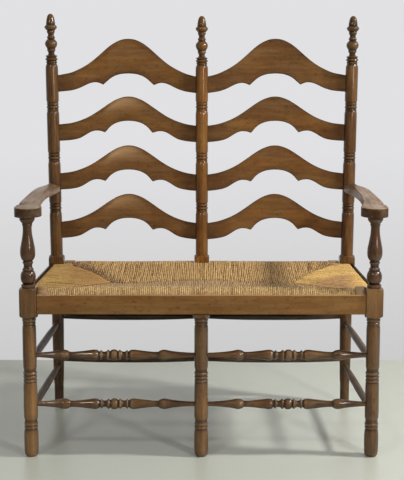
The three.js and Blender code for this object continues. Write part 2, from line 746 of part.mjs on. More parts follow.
function rushTopAt(x, y) {
  const toSide = rushHalfWidth(y) - Math.abs(x);
  const toFront = y - rushFrontY;
  const toRear = rushRearY - y;
  const toEdge = Math.min(toSide, toFront, toRear);
  const halfDepth = (rushRearY - rushFrontY) / 2;
  const blend = rushCornerBlendShare * halfDepth;
  const endRise = toFront < toRear ? frontRushTop : rearRushTop;
  const share = Math.min(toFront, toRear) / halfDepth;
  const middleRush = (frontRushTop + rearRushTop) / 2;
  const alongRim = THREE.MathUtils.lerp(endRise, middleRush, share);
  const sideRise = sideRailFrontHeight + sideRailDiameter / 2 + rushThickness;
  const nearSide = THREE.MathUtils.smoothstep(Math.min(toFront, toRear) - toSide, -blend, blend);
  const rim = THREE.MathUtils.lerp(alongRim, sideRise, nearSide);
  const sitters = 1 - Math.abs(Math.cos((Math.PI * x) / frontHalfSpan)) ** 2;
  const middle = middleRush - rushSag - rushMiddleLift * sitters;
  const depth = Math.min(1, toEdge / halfDepth);
  const roll = rushRoll * Math.max(0, 1 - toEdge / rushRoll) ** 2;
  return rim + (middle - rim) * Math.sin((Math.PI / 2) * depth) - roll;
}

function rushSolid() {
  const points = [];
  const index = [];
  const stride = rushColumns + 1;
  const layer = stride * (rushRows + 1);
  for (let level = 0; level < 2; level += 1) {
    for (let row = 0; row <= rushRows; row += 1) {
      // rows and columns lie closer together near the rails
      const rowShare = 0.5 - 0.5 * Math.cos((Math.PI * row) / rushRows);
      const y = THREE.MathUtils.lerp(rushFrontY, rushRearY, rowShare);
      for (let column = 0; column <= rushColumns; column += 1) {
        const x = -rushHalfWidth(y) * Math.cos((Math.PI * column) / rushColumns);
        const inside = (1 - (x / frontHalfSpan) ** 2) * Math.sin((Math.PI * row) / rushRows);
        points.push(x, y, level ? rushTopAt(x, y) : rushUnderside - rushBelly * inside);
      }
    }
  }
  const quad = (a, b, c, d) => index.push(a, b, c, a, c, d);
  for (let row = 0; row < rushRows; row += 1) {
    for (let column = 0; column < rushColumns; column += 1) {
      const a = row * stride + column;
      quad(a, a + stride, a + stride + 1, a + 1);
      quad(layer + a, layer + a + 1, layer + a + stride + 1, layer + a + stride);
    }
  }
  for (let column = 0; column < rushColumns; column += 1) {
    const back = rushRows * stride + column;
    quad(column, column + 1, layer + column + 1, layer + column);
    quad(back + 1, back, layer + back, layer + back + 1);
  }
  for (let row = 0; row < rushRows; row += 1) {
    const left = row * stride;
    const right = left + rushColumns;
    quad(left + stride, left, layer + left, layer + left + stride);
    quad(right, right + stride, layer + right + stride, layer + right);
  }
  const geometry = new THREE.BufferGeometry();
  geometry.setAttribute("position", new THREE.Float32BufferAttribute(points, 3));
  geometry.setIndex(index);
  return solidOf(geometry);
}

// The rush leaves the corners free: the blocks, and the bare ends of the front and rear rails
function cornerSpace(side, rear) {
  const blockHalf = rear ? rearBlockHalf : frontBlockHalf;
  const span = rear ? rearHalfSpan : frontHalfSpan;
  const inner = span - blockHalf - rushBareEnd;
  const outer = span + blockHalf + overrun;
  const [lowY, highY] = rear
    ? [rearY - rearBlockHalf - clearance, rearY + rearBlockWidth]
    : [frontY - frontBlockWidth, frontRailBackY + clearance];
  const [lowX, highX] = side > 0 ? [inner, outer] : [-outer, -inner];
  return solidOf(box(
    new THREE.Vector3(lowX, lowY, blockBottom - overrun),
    new THREE.Vector3(highX, highY, blockTop + overrun),
  ));
}

function grownFrontRail() {
  const low = frontRailLow - clearance;
  return solidOf(box(
    new THREE.Vector3(-frontHalfSpan, frontRailFrontY - clearance, low),
    new THREE.Vector3(frontHalfSpan, frontRailBackY + clearance, frontRailTop + clearance),
  ));
}

function grownRearRail() {
  const half = rearRailDepth / 2 + clearance;
  return solidOf(box(
    new THREE.Vector3(-rearHalfSpan, rearY - half, rearRailTop - rearRailHeight - clearance),
    new THREE.Vector3(rearHalfSpan, rearY + half, rearRailTop + clearance),
  ));
}

function grownSideRail(side) {
  const start = sideRailPoint(side, 0, 0);
  const end = sideRailPoint(side, 1, 0);
  return peg(start, end, sideRailDiameter + 2 * clearance, stretcherSides);
}

const centrePostSpace = solidOf(box(
  new THREE.Vector3(-rearBlockHalf - clearance, rearY - rearBlockHalf - clearance, blockBottom - overrun),
  new THREE.Vector3(rearBlockHalf + clearance, rearY + rearBlockWidth, blockTop + overrun),
));
const rushSeat = cutAll(rushSolid(), [
  cornerSpace(-1, false), cornerSpace(1, false), cornerSpace(-1, true), cornerSpace(1, true),
  grownFrontRail(), grownRearRail(), grownSideRail(-1), grownSideRail(1), centrePostSpace,
  centreBlockSpace(clearance),
]);
addPiece("rush_seat", rushSeat, rush);

export default settee;
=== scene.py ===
# Looks of the ladder-back double chair settee: turned wood, shaped slats and arms, and a woven rush seat.
# Blender 4.5. Metres, +X to the right, +Y to the back, +Z up. Tables are in millimetres.

import math
import random

import bpy
from mathutils import Matrix, Vector


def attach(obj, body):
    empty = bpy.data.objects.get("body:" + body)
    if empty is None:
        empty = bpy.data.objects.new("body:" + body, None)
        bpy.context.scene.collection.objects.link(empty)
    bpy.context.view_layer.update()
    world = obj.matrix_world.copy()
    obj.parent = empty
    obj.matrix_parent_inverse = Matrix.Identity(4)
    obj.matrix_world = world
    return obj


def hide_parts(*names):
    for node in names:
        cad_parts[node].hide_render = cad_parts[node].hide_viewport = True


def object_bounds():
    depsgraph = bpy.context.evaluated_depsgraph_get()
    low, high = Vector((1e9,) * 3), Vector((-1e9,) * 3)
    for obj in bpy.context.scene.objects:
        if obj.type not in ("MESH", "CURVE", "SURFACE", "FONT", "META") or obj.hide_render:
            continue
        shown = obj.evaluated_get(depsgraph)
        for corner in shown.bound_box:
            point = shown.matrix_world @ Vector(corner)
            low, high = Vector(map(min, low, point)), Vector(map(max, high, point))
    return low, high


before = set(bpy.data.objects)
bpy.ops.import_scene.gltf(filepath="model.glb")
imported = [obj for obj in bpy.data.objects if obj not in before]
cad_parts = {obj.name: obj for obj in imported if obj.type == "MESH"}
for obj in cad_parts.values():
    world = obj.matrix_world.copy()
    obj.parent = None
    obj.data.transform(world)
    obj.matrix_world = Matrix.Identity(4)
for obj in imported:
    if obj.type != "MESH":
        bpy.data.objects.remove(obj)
cad_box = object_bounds()

MM = 0.001
PAIR = (("left", -1), ("right", 1))
THREE = (("left", -1), ("centre", 0), ("right", 1))

# Places that the pieces share with the construction
ARM_NOSE = 32.0
LEG_DEPTH = 516.0
FRONT_Y = round(cad_box[0][1] / MM + ARM_NOSE, 3)
REAR_Y = FRONT_Y + LEG_DEPTH
FRONT_SPAN = 464.0
REAR_SPAN = 449.0
BLOCK_TOP = 468.0
FRONT_BLOCK = 46.0
REAR_BLOCK = 45.5
POST_RADIUS = 19.2
LEAN = 0.05
SPLAY = 0.0162
STRIP_OUTSET = 13.0
STRIP_HALF = 2.5
FIT = 0.3


# Helpers for meshes

def clear_selection():
    """Everything out of edit mode and deselected."""
    if bpy.context.object and bpy.context.object.mode != "OBJECT":
        bpy.ops.object.mode_set(mode="OBJECT")
    bpy.ops.object.select_all(action="DESELECT")


def only(piece):
    clear_selection()
    piece.select_set(True)
    bpy.context.view_layer.objects.active = piece


def edit(piece):
    """Edit mode, with the whole mesh selected."""
    only(piece)
    bpy.ops.object.mode_set(mode="EDIT")
    bpy.ops.mesh.select_all(action="SELECT")


def leave_edit():
    bpy.ops.object.mode_set(mode="OBJECT")


def named(name):
    piece = bpy.context.object
    piece.name = name
    piece.data.name = name
    return piece


def apply_place(piece):
    only(piece)
    bpy.ops.object.transform_apply(location=True, rotation=True, scale=True)


def copy_of(piece, name):
    twin = piece.copy()
    twin.data = piece.data.copy()
    twin.name = name
    twin.data.name = name
    bpy.context.scene.collection.objects.link(twin)
    return twin


def join(first, *others):
    only(first)
    for other in others:
        other.select_set(True)
    bpy.ops.object.join()
    return first


def move_points(piece, move):
    """Moves every point of a mesh by a rule that takes and gives x, y, z in millimetres."""
    for vertex in piece.data.vertices:
        x, y, z = (value / MM for value in vertex.co)
        vertex.co = Vector(move(x, y, z)) * MM
    piece.data.update()


def shift(piece, x, y):
    piece.data.transform(Matrix.Translation(Vector((x, y, 0)) * MM))


def smooth(piece, degrees):
    only(piece)
    bpy.ops.object.shade_smooth_by_angle(angle=math.radians(degrees))


def outward_normals(piece):
    edit(piece)
    bpy.ops.mesh.normals_make_consistent(inside=False)
    leave_edit()


def apply_modifier(piece, kind, **settings):
    only(piece)
    modifier = piece.modifiers.new(kind.lower(), kind)
    for key, value in settings.items():
        setattr(modifier, key, value)
    bpy.ops.object.modifier_apply(modifier=modifier.name)


def bevel(piece, width, segments, degrees=30, **settings):
    """Rounds the edges that are sharper than an angle."""
    apply_modifier(piece, "BEVEL", width=width * MM, segments=segments, limit_method="ANGLE",
                   angle_limit=math.radians(degrees), **settings)


def trim(piece, place, normal):
    """Takes away what lies beyond a plane, and closes the cut."""
    edit(piece)
    bpy.ops.mesh.bisect(plane_co=place, plane_no=normal, clear_outer=True, use_fill=True)
    leave_edit()


def carve(piece, operation, tool):
    """Cuts a piece with another one, or down to it, and does away with the tool."""
    apply_modifier(piece, "BOOLEAN", operation=operation, object=tool, solver="EXACT")
    bpy.data.objects.remove(tool)


def box(name, low, high):
    """A plain block between two corners in millimetres."""
    clear_selection()
    middle = [(a + b) / 2 * MM for a, b in zip(low, high)]
    size = [(b - a) * MM for a, b in zip(low, high)]
    bpy.ops.mesh.primitive_cube_add(size=1, location=middle, scale=size)
    piece = named(name)
    apply_place(piece)
    return piece


def board(name, low, high, edge, segments=3):
    """A plank between two corners in millimetres, with softened edges."""
    piece = box(name, low, high)
    bevel(piece, edge, segments)
    smooth(piece, 40)
    return piece


def smoothstep(value, low, high):
    share = max(0.0, min(1.0, (value - low) / (high - low)))
    return share * share * (3 - 2 * share)


def bell(offset, width):
    return math.exp(-(offset / width) ** 2)


def above(z):
    return max(0.0, z - BLOCK_TOP)


def curve(t, start, end, leave, arrive):
    """Where a smooth curve from start to end is at t, by the slopes with which it leaves and arrives."""
    return (
        (2 * t ** 3 - 3 * t ** 2 + 1) * start + (t ** 3 - 2 * t ** 2 + t) * leave
        + (3 * t ** 2 - 2 * t ** 3) * end + (t ** 3 - t ** 2) * arrive
    )


def softened(table, step):
    """Points of an outline with smooth curves between its rows. A third value marks a crisp corner."""
    straight = [(b[1] - a[1]) / (b[0] - a[0]) for a, b in zip(table, table[1:])]
    slopes = [None]
    for before, after, row in zip(straight, straight[1:], table[1:]):
        rounded = 0.0 if before * after <= 0 else 2 * before * after / (before + after)
        slopes.append(None if len(row) > 2 else rounded)
    slopes.append(None)
    points = [table[0][:2]]
    for i, slope in enumerate(straight):
        (place, size), next_size = table[i][:2], table[i + 1][1]
        run = table[i + 1][0] - place
        leave, arrive = (slope if bend is None else bend for bend in slopes[i:i + 2])
        flat = max(abs(leave - slope), abs(arrive - slope)) < 0.01
        parts = 1 if flat else max(2, min(8, round(run / step)))
        for k in range(1, parts + 1):
            t = k / parts
            points.append((place + t * run, curve(t, size, next_size, run * leave, run * arrive)))
    return points


def size_at(outline, place):
    if place <= outline[0][0]:
        return outline[0][1]
    for (a, first), (b, second) in zip(outline, outline[1:]):
        if place <= b:
            share = (place - a) / max(b - a, 0.0001)
            return first + share * (second - first)
    return outline[-1][1]


def draw_line(name, points):
    """A chain of edges through points in metres, extruded one after another from a single vertex."""
    clear_selection()
    bpy.ops.mesh.primitive_plane_add(size=0.001, location=points[0])
    chain = named(name)
    edit(chain)
    bpy.ops.mesh.merge(type="CENTER")
    for a, b in zip(points, points[1:]):
        step = Vector(b) - Vector(a)
        bpy.ops.mesh.extrude_region_move(TRANSFORM_OT_translate={"value": step})
    leave_edit()
    apply_place(chain)
    return chain


def turned(name, table, sides, step=1.6, shade=1.0):
    """A turning round the Z axis, spun from its outline, with its hollows kept as an attribute."""
    outline = softened(table, step)
    line = [(diameter / 2 * MM, 0.0, place * MM) for place, diameter in outline if diameter > 0.02]
    piece = draw_line(name, [(0.0, 0.0, outline[0][0] * MM), *line, (0.0, 0.0, outline[-1][0] * MM)])
    edit(piece)
    bpy.ops.mesh.spin(steps=sides, angle=2 * math.pi, center=(0, 0, 0), axis=(0, 0, 1))
    bpy.ops.mesh.select_all(action="SELECT")
    bpy.ops.mesh.remove_doubles(threshold=0.00001)
    bpy.ops.mesh.normals_make_consistent(inside=False)
    leave_edit()
    mark_hollows(piece, outline, shade)
    smooth(piece, 38)
    return piece


def keep_values(piece, label, values):
    """Keeps a value for each point of a mesh as an attribute."""
    kept = piece.data.attributes.get(label) or piece.data.attributes.new(label, "FLOAT", "POINT")
    kept.data.foreach_set("value", values)


def mark_hollows(piece, outline, shade, reach=9.0):
    """Keeps on each point how far the turning lies below (hollow) or above (proud) its neighbourhood."""
    offsets = [k * reach / 6 for k in range(-6, 7)]
    known = {}
    places = [round(vertex.co.z / MM, 2) for vertex in piece.data.vertices]
    for place in set(places):
        around = sum(size_at(outline, place + offset) for offset in offsets) / len(offsets)
        hollow = (around - size_at(outline, place)) / 2
        known[place] = max(-1.0, min(1.0, shade * hollow / 2.0))
    keep_values(piece, "hollow", [known[place] for place in places])


def mark(piece, rule):
    """Marks where a piece is darker (above 0) or paler (below 0), by a rule of the place: stains and scuffs,
    and also painted shade and painted sheen.
    """
    keep_values(piece, "mark", [rule(*(vertex.co / MM)) for vertex in piece.data.vertices])


def lay_between(piece, start, end):
    """Moves a piece that is drawn along +Z, so that its origin is at start and it points to end."""
    direction = (Vector(end) - Vector(start)).normalized()
    turn = direction.to_track_quat("Z", "X").to_matrix().to_4x4()
    piece.data.transform(Matrix.Translation(Vector(start) * MM) @ turn)


def wear_material(piece, material):
    piece.data.materials.clear()
    piece.data.materials.append(material)


def ride_and_replace(piece, slot, *nodes):
    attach(piece, "root")
    if nodes:
        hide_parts(*nodes)


def finish_piece(piece, material, slot, *nodes):
    wear_material(piece, material)
    ride_and_replace(piece, slot, *nodes)


# Helpers for materials

def colour(red, green, blue):
    """A colour from its screen values, 0 to 255."""
    def plain(value):
        value /= 255
        return value / 12.92 if value <= 0.04045 else ((value + 0.055) / 1.055) ** 2.4
    return (plain(red), plain(green), plain(blue), 1.0)


def plug(tree, value, socket):
    """Feeds a socket from another one, or sets it to a plain value."""
    if isinstance(value, bpy.types.NodeSocket):
        tree.links.new(value, socket)
    else:
        socket.default_value = value


def node(tree, kind, **settings):
    """A node with its settings, and its inputs by their labels."""
    made = tree.nodes.new(kind)
    for key, value in settings.items():
        if key in made.inputs:
            plug(tree, value, made.inputs[key])
        else:
            setattr(made, key, value)
    return made


def mix(tree, factor, first, second, blend="MIX"):
    made = node(tree, "ShaderNodeMix", data_type="RGBA", blend_type=blend)
    for place, value in ((0, factor), (6, first), (7, second)):
        plug(tree, value, made.inputs[place])
    return made.outputs[2]


def maths(tree, operation, *values):
    made = node(tree, "ShaderNodeMath", operation=operation)
    for socket, value in zip(made.inputs, values):
        plug(tree, value, socket)
    return made.outputs[0]


def times(tree, first, second):
    return maths(tree, "MULTIPLY", first, second)


def ranged(tree, value, low, high, to_low=0.0, to_high=1.0):
    made = node(tree, "ShaderNodeMapRange")
    for label, given in (("Value", value), ("From Min", low), ("From Max", high), ("To Min", to_low),
                         ("To Max", to_high)):
        plug(tree, given, made.inputs[label])
    return made.outputs["Result"]


def layered(tree, tone, layers):
    """Lays colours over a tone in turn, each where its source lies in a range, between two strengths."""
    for source, low, high, to_low, to_high, over in layers:
        tone = mix(tree, ranged(tree, source, low, high, to_low, to_high), tone, over)
    return tone


def noise(tree, vector, scale, detail, roughness, stretch=(1, 1, 1), moved=(0, 0, 0)):
    mapping = node(tree, "ShaderNodeMapping", Vector=vector, Scale=stretch, Location=moved)
    made = node(tree, "ShaderNodeTexNoise", Vector=mapping.outputs["Vector"], Scale=scale, Detail=detail,
                Roughness=roughness)
    return made.outputs["Fac"]


def group(name, vectors, colours, values):
    """A shader node group with three kinds of inputs, that gives a colour, a roughness and a height."""
    tree = bpy.data.node_groups.new(name, "ShaderNodeTree")
    for kind, labels in (("Vector", vectors), ("Color", colours), ("Float", values)):
        for label in labels.split():
            tree.interface.new_socket(label, in_out="INPUT", socket_type="NodeSocket" + kind)
    for label, kind in (("Color", "Color"), ("Roughness", "Float"), ("Height", "Float")):
        tree.interface.new_socket(label, in_out="OUTPUT", socket_type="NodeSocket" + kind)
    return tree, tree.nodes.new("NodeGroupInput").outputs, tree.nodes.new("NodeGroupOutput").inputs


def new_material(name):
    material = bpy.data.materials.new(name)
    material.use_nodes = True
    tree = material.node_tree
    return material, tree, tree.nodes["Principled BSDF"].inputs


def point_value(tree, label):
    return node(tree, "ShaderNodeAttribute", attribute_name=label.lower()).outputs["Fac"]


def texture_place(tree):
    return node(tree, "ShaderNodeTexCoord").outputs["Object"]


def surface(tree, shader, pattern, base, strength, distance):
    """Feeds a shader with a base colour, and with the roughness and the height of a pattern."""
    raised = node(tree, "ShaderNodeBump", Strength=strength, Distance=distance,
                  Height=pattern.outputs["Height"])
    plug(tree, base, shader["Base Color"])
    plug(tree, pattern.outputs["Roughness"], shader["Roughness"])
    plug(tree, raised.outputs["Normal"], shader["Normal"])


# Woods

# A near-black brown for soiling and for painted shade, in hollows, at rims, under the seat's rush and on
# marked pieces
DIRT_AND_SHADE = (30, 20, 11)
WARMTH = (1.02, 0.9, 0.8, 1.0)
TURNS = {"X": (0, 0, 0), "Y": (0, 0, -math.pi / 2), "Z": (0, math.pi / 2, 0)}


def grain_group():
    """Stained old wood, its grain along X: streaks, fibres, pores, soiling with painted shade in the
    hollows, and proud spots paled partly by scuffing and partly as painted highlight.
    """
    tree, given, out = group("old stained grain", "Vector", "Light Middle Dark Dirt",
                             "Hollow Mark Streaks Wear")
    place, light, dark, dirt, hollow, spot = (
        given[label] for label in ("Vector", "Light", "Dark", "Dirt", "Hollow", "Mark"))
    # detail and roughness of each noise, how it is stretched, and how far it is moved
    broad, cloud, glow, streak, fibre, pore, speck, red = (noise(tree, place, 1.0, *row) for row in (
        (4.0, 0.6, (5, 22, 22)),
        (3.0, 0.55, (13, 30, 30), (3, 1, 7)),
        (2.0, 0.5, (5, 24, 24), (4, 2, 9)),
        (4.0, 0.6, (6, 130, 130), (1, 5, 2)),
        (3.0, 0.6, (30, 620, 620), (8, 2, 4)),
        (2.0, 0.5, (70, 900, 900), (2, 9, 6)),
        (3.0, 0.65, (70, 120, 120), (7, 3, 2)),
        (3.0, 0.6, (12, 34, 34), (6, 8, 1)),
    ))
    tone = mix(tree, ranged(tree, broad, 0.36, 0.62), dark, given["Middle"])
    for source, low, high, strongest in ((streak, 0.42, 0.72, 1.0), (glow, 0.5, 0.68, 0.7)):
        strength = times(tree, ranged(tree, source, low, high, 0.0, strongest), given["Streaks"])
        tone = mix(tree, strength, tone, light)
    tone = mix(tree, ranged(tree, cloud, 0.52, 0.72, 0.0, 0.45), tone, dark)
    tone = mix(tree, ranged(tree, red, 0.42, 0.62), tone, mix(tree, 1.0, tone, WARMTH, "MULTIPLY"))
    tone = layered(tree, tone, (
        (fibre, 0.35, 0.7, 0.2, 0.0, dark),
        (speck, 0.56, 0.7, 0.0, 0.4, dirt),
        (pore, 0.62, 0.72, 0.0, 0.55, dirt),
        # soiling and painted shade in the hollows of the turnings
        (hollow, 0.05, 0.75, 0.0, 0.62, dirt),
    ))
    # proud rings and beads pale, partly as scuffing and partly as painted highlight
    proud = times(tree, ranged(tree, hollow, -0.1, -0.7), given["Wear"])
    paled = times(tree, proud, ranged(tree, cloud, 0.35, 0.65))
    # marks above zero darken, as stains and as painted shade; marks below zero pale, as scuffs and as
    # painted sheen
    stained = times(tree, ranged(tree, spot, 0.0, 1.0), ranged(tree, cloud, 0.3, 0.6, 0.7, 1.0))
    pale = times(tree, ranged(tree, spot, 0.0, -1.0), ranged(tree, streak, 0.3, 0.6, 0.7, 1.0))
    for strength, over in ((paled, light), (stained, dirt), (pale, light)):
        tone = mix(tree, strength, tone, over)
    plug(tree, tone, out["Color"])

    rough = ranged(tree, cloud, 0.35, 0.7, 0.34, 0.5)
    for source, low, high, more in ((pore, 0.62, 0.72, 0.2), (hollow, 0.05, 0.75, 0.25)):
        rough = maths(tree, "ADD", rough, ranged(tree, source, low, high, 0.0, more))
    plug(tree, rough, out["Roughness"])
    height = times(tree, maths(tree, "ADD", fibre, streak), 0.5)
    height = maths(tree, "SUBTRACT", height, ranged(tree, pore, 0.62, 0.72, 0.0, 0.6))
    plug(tree, height, out["Height"])
    return tree


GRAIN = grain_group()


def wood(name, along, light, middle, dark, dirt=DIRT_AND_SHADE, streaks=0.5, wear=0.4, coat=0.75, rim=0.8,
         moved=(0, 0, 0)):
    """A wood with a stain, its grain along an axis, and painted shade that darkens it towards its rims,
    where its surface turns from view.
    """
    material, tree, shader = new_material(name)
    mapping = node(tree, "ShaderNodeMapping", Vector=texture_place(tree), Rotation=TURNS[along],
                   Location=moved)
    grain = node(
        tree, "ShaderNodeGroup", node_tree=GRAIN, Vector=mapping.outputs["Vector"], Light=colour(*light),
        Middle=colour(*middle), Dark=colour(*dark), Dirt=colour(*dirt), Streaks=streaks, Wear=wear,
        Hollow=point_value(tree, "Hollow"), Mark=point_value(tree, "Mark"),
    )
    # painted shade: the rims, where the surface turns from view, are darkened by the strength rim
    facing = node(tree, "ShaderNodeLayerWeight", Blend=0.5).outputs["Facing"]
    deep = ranged(tree, facing, 0.22, 0.85, 0.0, rim)
    surface(tree, shader, grain, mix(tree, deep, grain.outputs["Color"], colour(*dirt)), 0.12, 0.002)
    for label, value in (("Specular IOR Level", 0.08), ("Coat Weight", coat), ("Coat Roughness", 0.13)):
        plug(tree, value, shader[label])
    return material


OUTER_POST_WOOD = wood("outer post wood", "Z", (150, 110, 64), (104, 72, 37), (66, 43, 24),
                       wear=0.6, coat=0.55)
POST_WOOD = wood("centre post wood", "Z", (170, 121, 60), (130, 88, 38), (92, 57, 27), coat=0.5)
FRONT_WOOD = wood("front post wood", "Z", (182, 136, 78), (120, 84, 42), (78, 52, 29),
                  streaks=0.25, wear=0.25, coat=1.0, moved=(0.4, 0.2, 0.3))
SUPPORT_WOOD = wood("arm support wood", "Z", (150, 110, 72), (98, 65, 40), (62, 40, 26),
                    streaks=0.3, moved=(0.1, 0.5, 0.2))
SLAT_WOOD = wood("slat wood", "X", (190, 152, 110), (128, 90, 44), (100, 66, 33),
                 streaks=0.12, wear=0.2, coat=0.35, rim=0.5)
RAIL_WOOD = wood("rail wood", "X", (206, 156, 108), (136, 98, 50), (119, 83, 42),
                 streaks=0.2, coat=0.3, rim=0.4, moved=(0, 0.3, 0.1))
ARM_WOOD = wood("arm wood", "Y", (176, 156, 132), (142, 114, 84), (104, 76, 48), (58, 36, 21),
                streaks=0.7, coat=0.1, rim=0.0)
TIE_WOOD = wood("stretcher wood", "X", (180, 138, 90), (96, 68, 40), (60, 41, 25),
                streaks=0.3, wear=0.5, coat=0.8)
SIDE_TIE_WOOD = wood("side stretcher wood", "Y", (136, 112, 84), (106, 84, 60), (76, 58, 42),
                     coat=0.05, rim=0.25)
BARE_WOOD = wood("bare rail wood", "X", (186, 158, 122), (160, 130, 94), (118, 88, 58),
                 streaks=0.6, coat=0.0, rim=0.0)
DARK_WOOD = wood("dark strip wood", "Y", (84, 64, 44), (62, 46, 30), (40, 29, 19), coat=0.1, rim=0.3)


# Camera

def make_camera():
    data = bpy.data.cameras.new("photo camera")
    data.lens = 92.22
    data.sensor_width = 36
    camera = bpy.data.objects.new("photo camera", data)
    camera.location = (0.0112, -3.5163, 1.0669)
    camera.rotation_euler = (math.radians(81.753), 0, math.radians(0.16))
    bpy.context.scene.collection.objects.link(camera)
    bpy.context.scene.camera = camera


# Turned posts. The tables give height and diameter.

LEG_TABLE = [
    (0, 25, "c"), (0.8, 28.5), (3, 32.5), (7, 35.8), (13, 37.8), (22, 38.8), (44, 39.2), (60, 38.8),
    (69, 37.7), (74.5, 36), (76.3, 34.6, "c"), (78, 34.4, "c"), (79, 36.2), (81.8, 37.2), (84.6, 36.2),
    (85.4, 34.6, "c"), (87.2, 34.6, "c"), (88.2, 36.6), (90.8, 37.6), (93.4, 36.6), (94.3, 34.6, "c"),
    (101, 34.2), (104.5, 35), (106.5, 36.4, "c"), (109, 37.4), (137, 38.4), (175, 37.6), (200, 37),
    (205.6, 36.4), (206.6, 34.2, "c"), (208, 34.2, "c"), (209.2, 36.2), (211.8, 37), (214.4, 36.2),
    (215.6, 33.9, "c"), (218, 33.9, "c"), (219.2, 36.2), (221.8, 37), (224.4, 36.2), (225.6, 33.7, "c"),
    (228, 33.7, "c"), (229, 36.4), (232, 37.8), (235, 36.4), (236.2, 33.7, "c"), (241, 33.6), (246, 34.8),
    (248.5, 36.6, "c"), (253, 37), (300, 37.5), (350, 37.4), (359, 36.9), (363.5, 35.8), (365.3, 34.3, "c"),
    (366.8, 34.3, "c"), (367.6, 35.4), (369.7, 36), (371.8, 35.4), (372.6, 34.3, "c"), (375.2, 34.3, "c"),
    (376.4, 36.6), (379.8, 37.6), (383.2, 36.6), (384.4, 35.6, "c"), (390, 35.6, "c"),
]
SUPPORT_TABLE = [
    (464, 36, "c"), (468.6, 36, "c"), (469.6, 37.6), (472.8, 38.4), (476, 37.6), (477.2, 34, "c"),
    (478.6, 27.4, "c"), (480, 31), (484, 36.6), (490, 40), (497, 41.1), (503.5, 39.8), (508.8, 36),
    (511.8, 31.8), (513.2, 28.4, "c"), (514, 29.4), (516.5, 30), (519, 29.2), (520, 27.2, "c"),
    (522.5, 23.6), (526, 22.8), (530.5, 24), (533.8, 27.2), (535.4, 29.4), (537, 28.4), (538.2, 25.2, "c"),
    (540, 25.4, "c"), (542, 29), (545, 33.2), (549, 37), (555, 39.9), (562, 41), (571, 40.2), (585, 35.4),
    (599, 29.9), (612, 25.8), (624, 24.1), (632, 24.3), (634.4, 24.6, "c"), (635.4, 26.8), (637.4, 27.4),
    (639.4, 26.8), (640.2, 26.2, "c"), (642.5, 29.6), (645.5, 34), (648.5, 38.2), (650.6, 40.6, "c"),
    (652, 41.2), (656, 41.2), (658, 40.8, "c"),
]
REAR_LEG_TABLE = [
    (0, 25, "c"), (1, 27), (4, 28), (35, 28.4), (65, 29), (80, 31), (130, 33.7), (200, 35.6), (240, 36.4),
    (330, 36.9), (460, 37.6),
]
RING_TABLE = [
    (-24, 38), (-18, 37.2), (-14, 35), (-12.2, 33.6, "c"), (-11, 35.2), (-9, 35.6), (-7.2, 35.2, "c"),
    (-6.4, 33.2), (-4.6, 33.2, "c"), (-3.4, 36), (-0.4, 37.4), (2.6, 36), (3.6, 33.2, "c"), (5.6, 33, "c"),
    (6.8, 35.6), (9, 36.6), (11, 35.6), (12, 33.2, "c"), (13.8, 34.4), (17.5, 37), (24, 38),
]
RING_PLACES = (621, 775.5, 930)
FINIAL_TABLE = [
    (1030, 38.2), (1046, 37.8), (1052, 36.8), (1057, 34.2), (1059.6, 31, "c"), (1062, 30.2, "c"),
    (1063.6, 32.4), (1066.3, 33.6), (1068, 32), (1069, 30, "c"), (1070.6, 30.4, "c"), (1072, 34.6),
    (1074.8, 38), (1077.4, 35.4), (1078.8, 30.4, "c"), (1081, 30.6, "c"), (1083, 34.2), (1084.8, 36.8),
    (1086, 33, "c"), (1087.6, 25), (1090, 20), (1093, 18.2), (1097, 20), (1100.4, 24.6), (1102.8, 25.6),
    (1105, 24.4, "c"), (1107.6, 25.4), (1110.6, 29.4), (1115.3, 34.6), (1121.4, 37.6), (1127.4, 34.8),
    (1131, 29.6), (1134.2, 23.4), (1136, 20.4, "c"), (1137.8, 23), (1140.9, 24.8), (1143.4, 21.8),
    (1146.6, 18), (1149.6, 18), (1152.8, 20.6), (1155.6, 23.8), (1158.6, 24.4), (1161, 23, "c"),
    (1163, 27.6), (1166.4, 34), (1170.8, 38), (1175, 35.2), (1177.2, 30.6), (1178.2, 27, "c"), (1181, 27.4),
    (1187.2, 26.6), (1193.3, 24.6), (1199.4, 22.2), (1204.3, 19), (1208, 14.8), (1210.4, 9.6),
    (1211.6, 4.6), (1212, 0, "c"),
]
FRONT_BLOCK_TABLE = [
    (385.6, 38, "c"), (386.4, 44.6), (388.4, 50), (391.6, 58), (395.6, 70, "c"), (459, 70, "c"),
    (462.6, 60), (465.4, 52), (467.4, 45), (468, 38, "c"),
]
REAR_BLOCK_TABLE = [
    (386, 38.6, "c"), (388, 43), (392, 50), (398, 60), (402, 68, "c"), (464, 68, "c"), (466.6, 60),
    (469.2, 54), (471.6, 49), (473.6, 44.6), (474.9, 41), (475.4, 38, "c"),
]
# How much lower the rings of each finial sit than the left one's, by height
FINIAL_DROPS = {
    "left": [(0, 0), (1212, 0)],
    "centre": [(980, 0), (1050, 2), (1085, 7), (1122, 6.4), (1171, 4.8), (1212, 6.8)],
    "right": [(980, 0), (1050, 0.5), (1085, 3), (1122, 5.4), (1171, 4), (1212, 7)],
}
# The front board, which is let into the centre leg, and the top of that leg under the front rail
BOARD_FRONT, BOARD_BACK = -287.9, -279.9
BOARD_LOW, BOARD_HIGH = 397, 450
CENTRE_BLOCK_TOP = 433.7


def square_block(name, table, width, corner):
    """A square block cut from the stuff of the post, with the lathe's round shoulders at both ends."""
    round_piece = turned(name + "_round", table, 64, 1.2)
    half = width / 2
    block = box(name, (-half, -half, table[0][0] - 1), (half, half, table[-1][0] + 1))
    bevel(block, corner, 3)
    carve(block, "INTERSECT", round_piece)
    smooth(block, 30)
    return block


def rear_post_mark(x, y, z):
    """The back legs, the rings and the finials are darker."""
    rings = sum(0.3 * bell(z - middle, 13) for middle in RING_PLACES)
    return 0.32 * smoothstep(z, 400, 330) + 0.42 * smoothstep(z, 1040, 1060) + rings


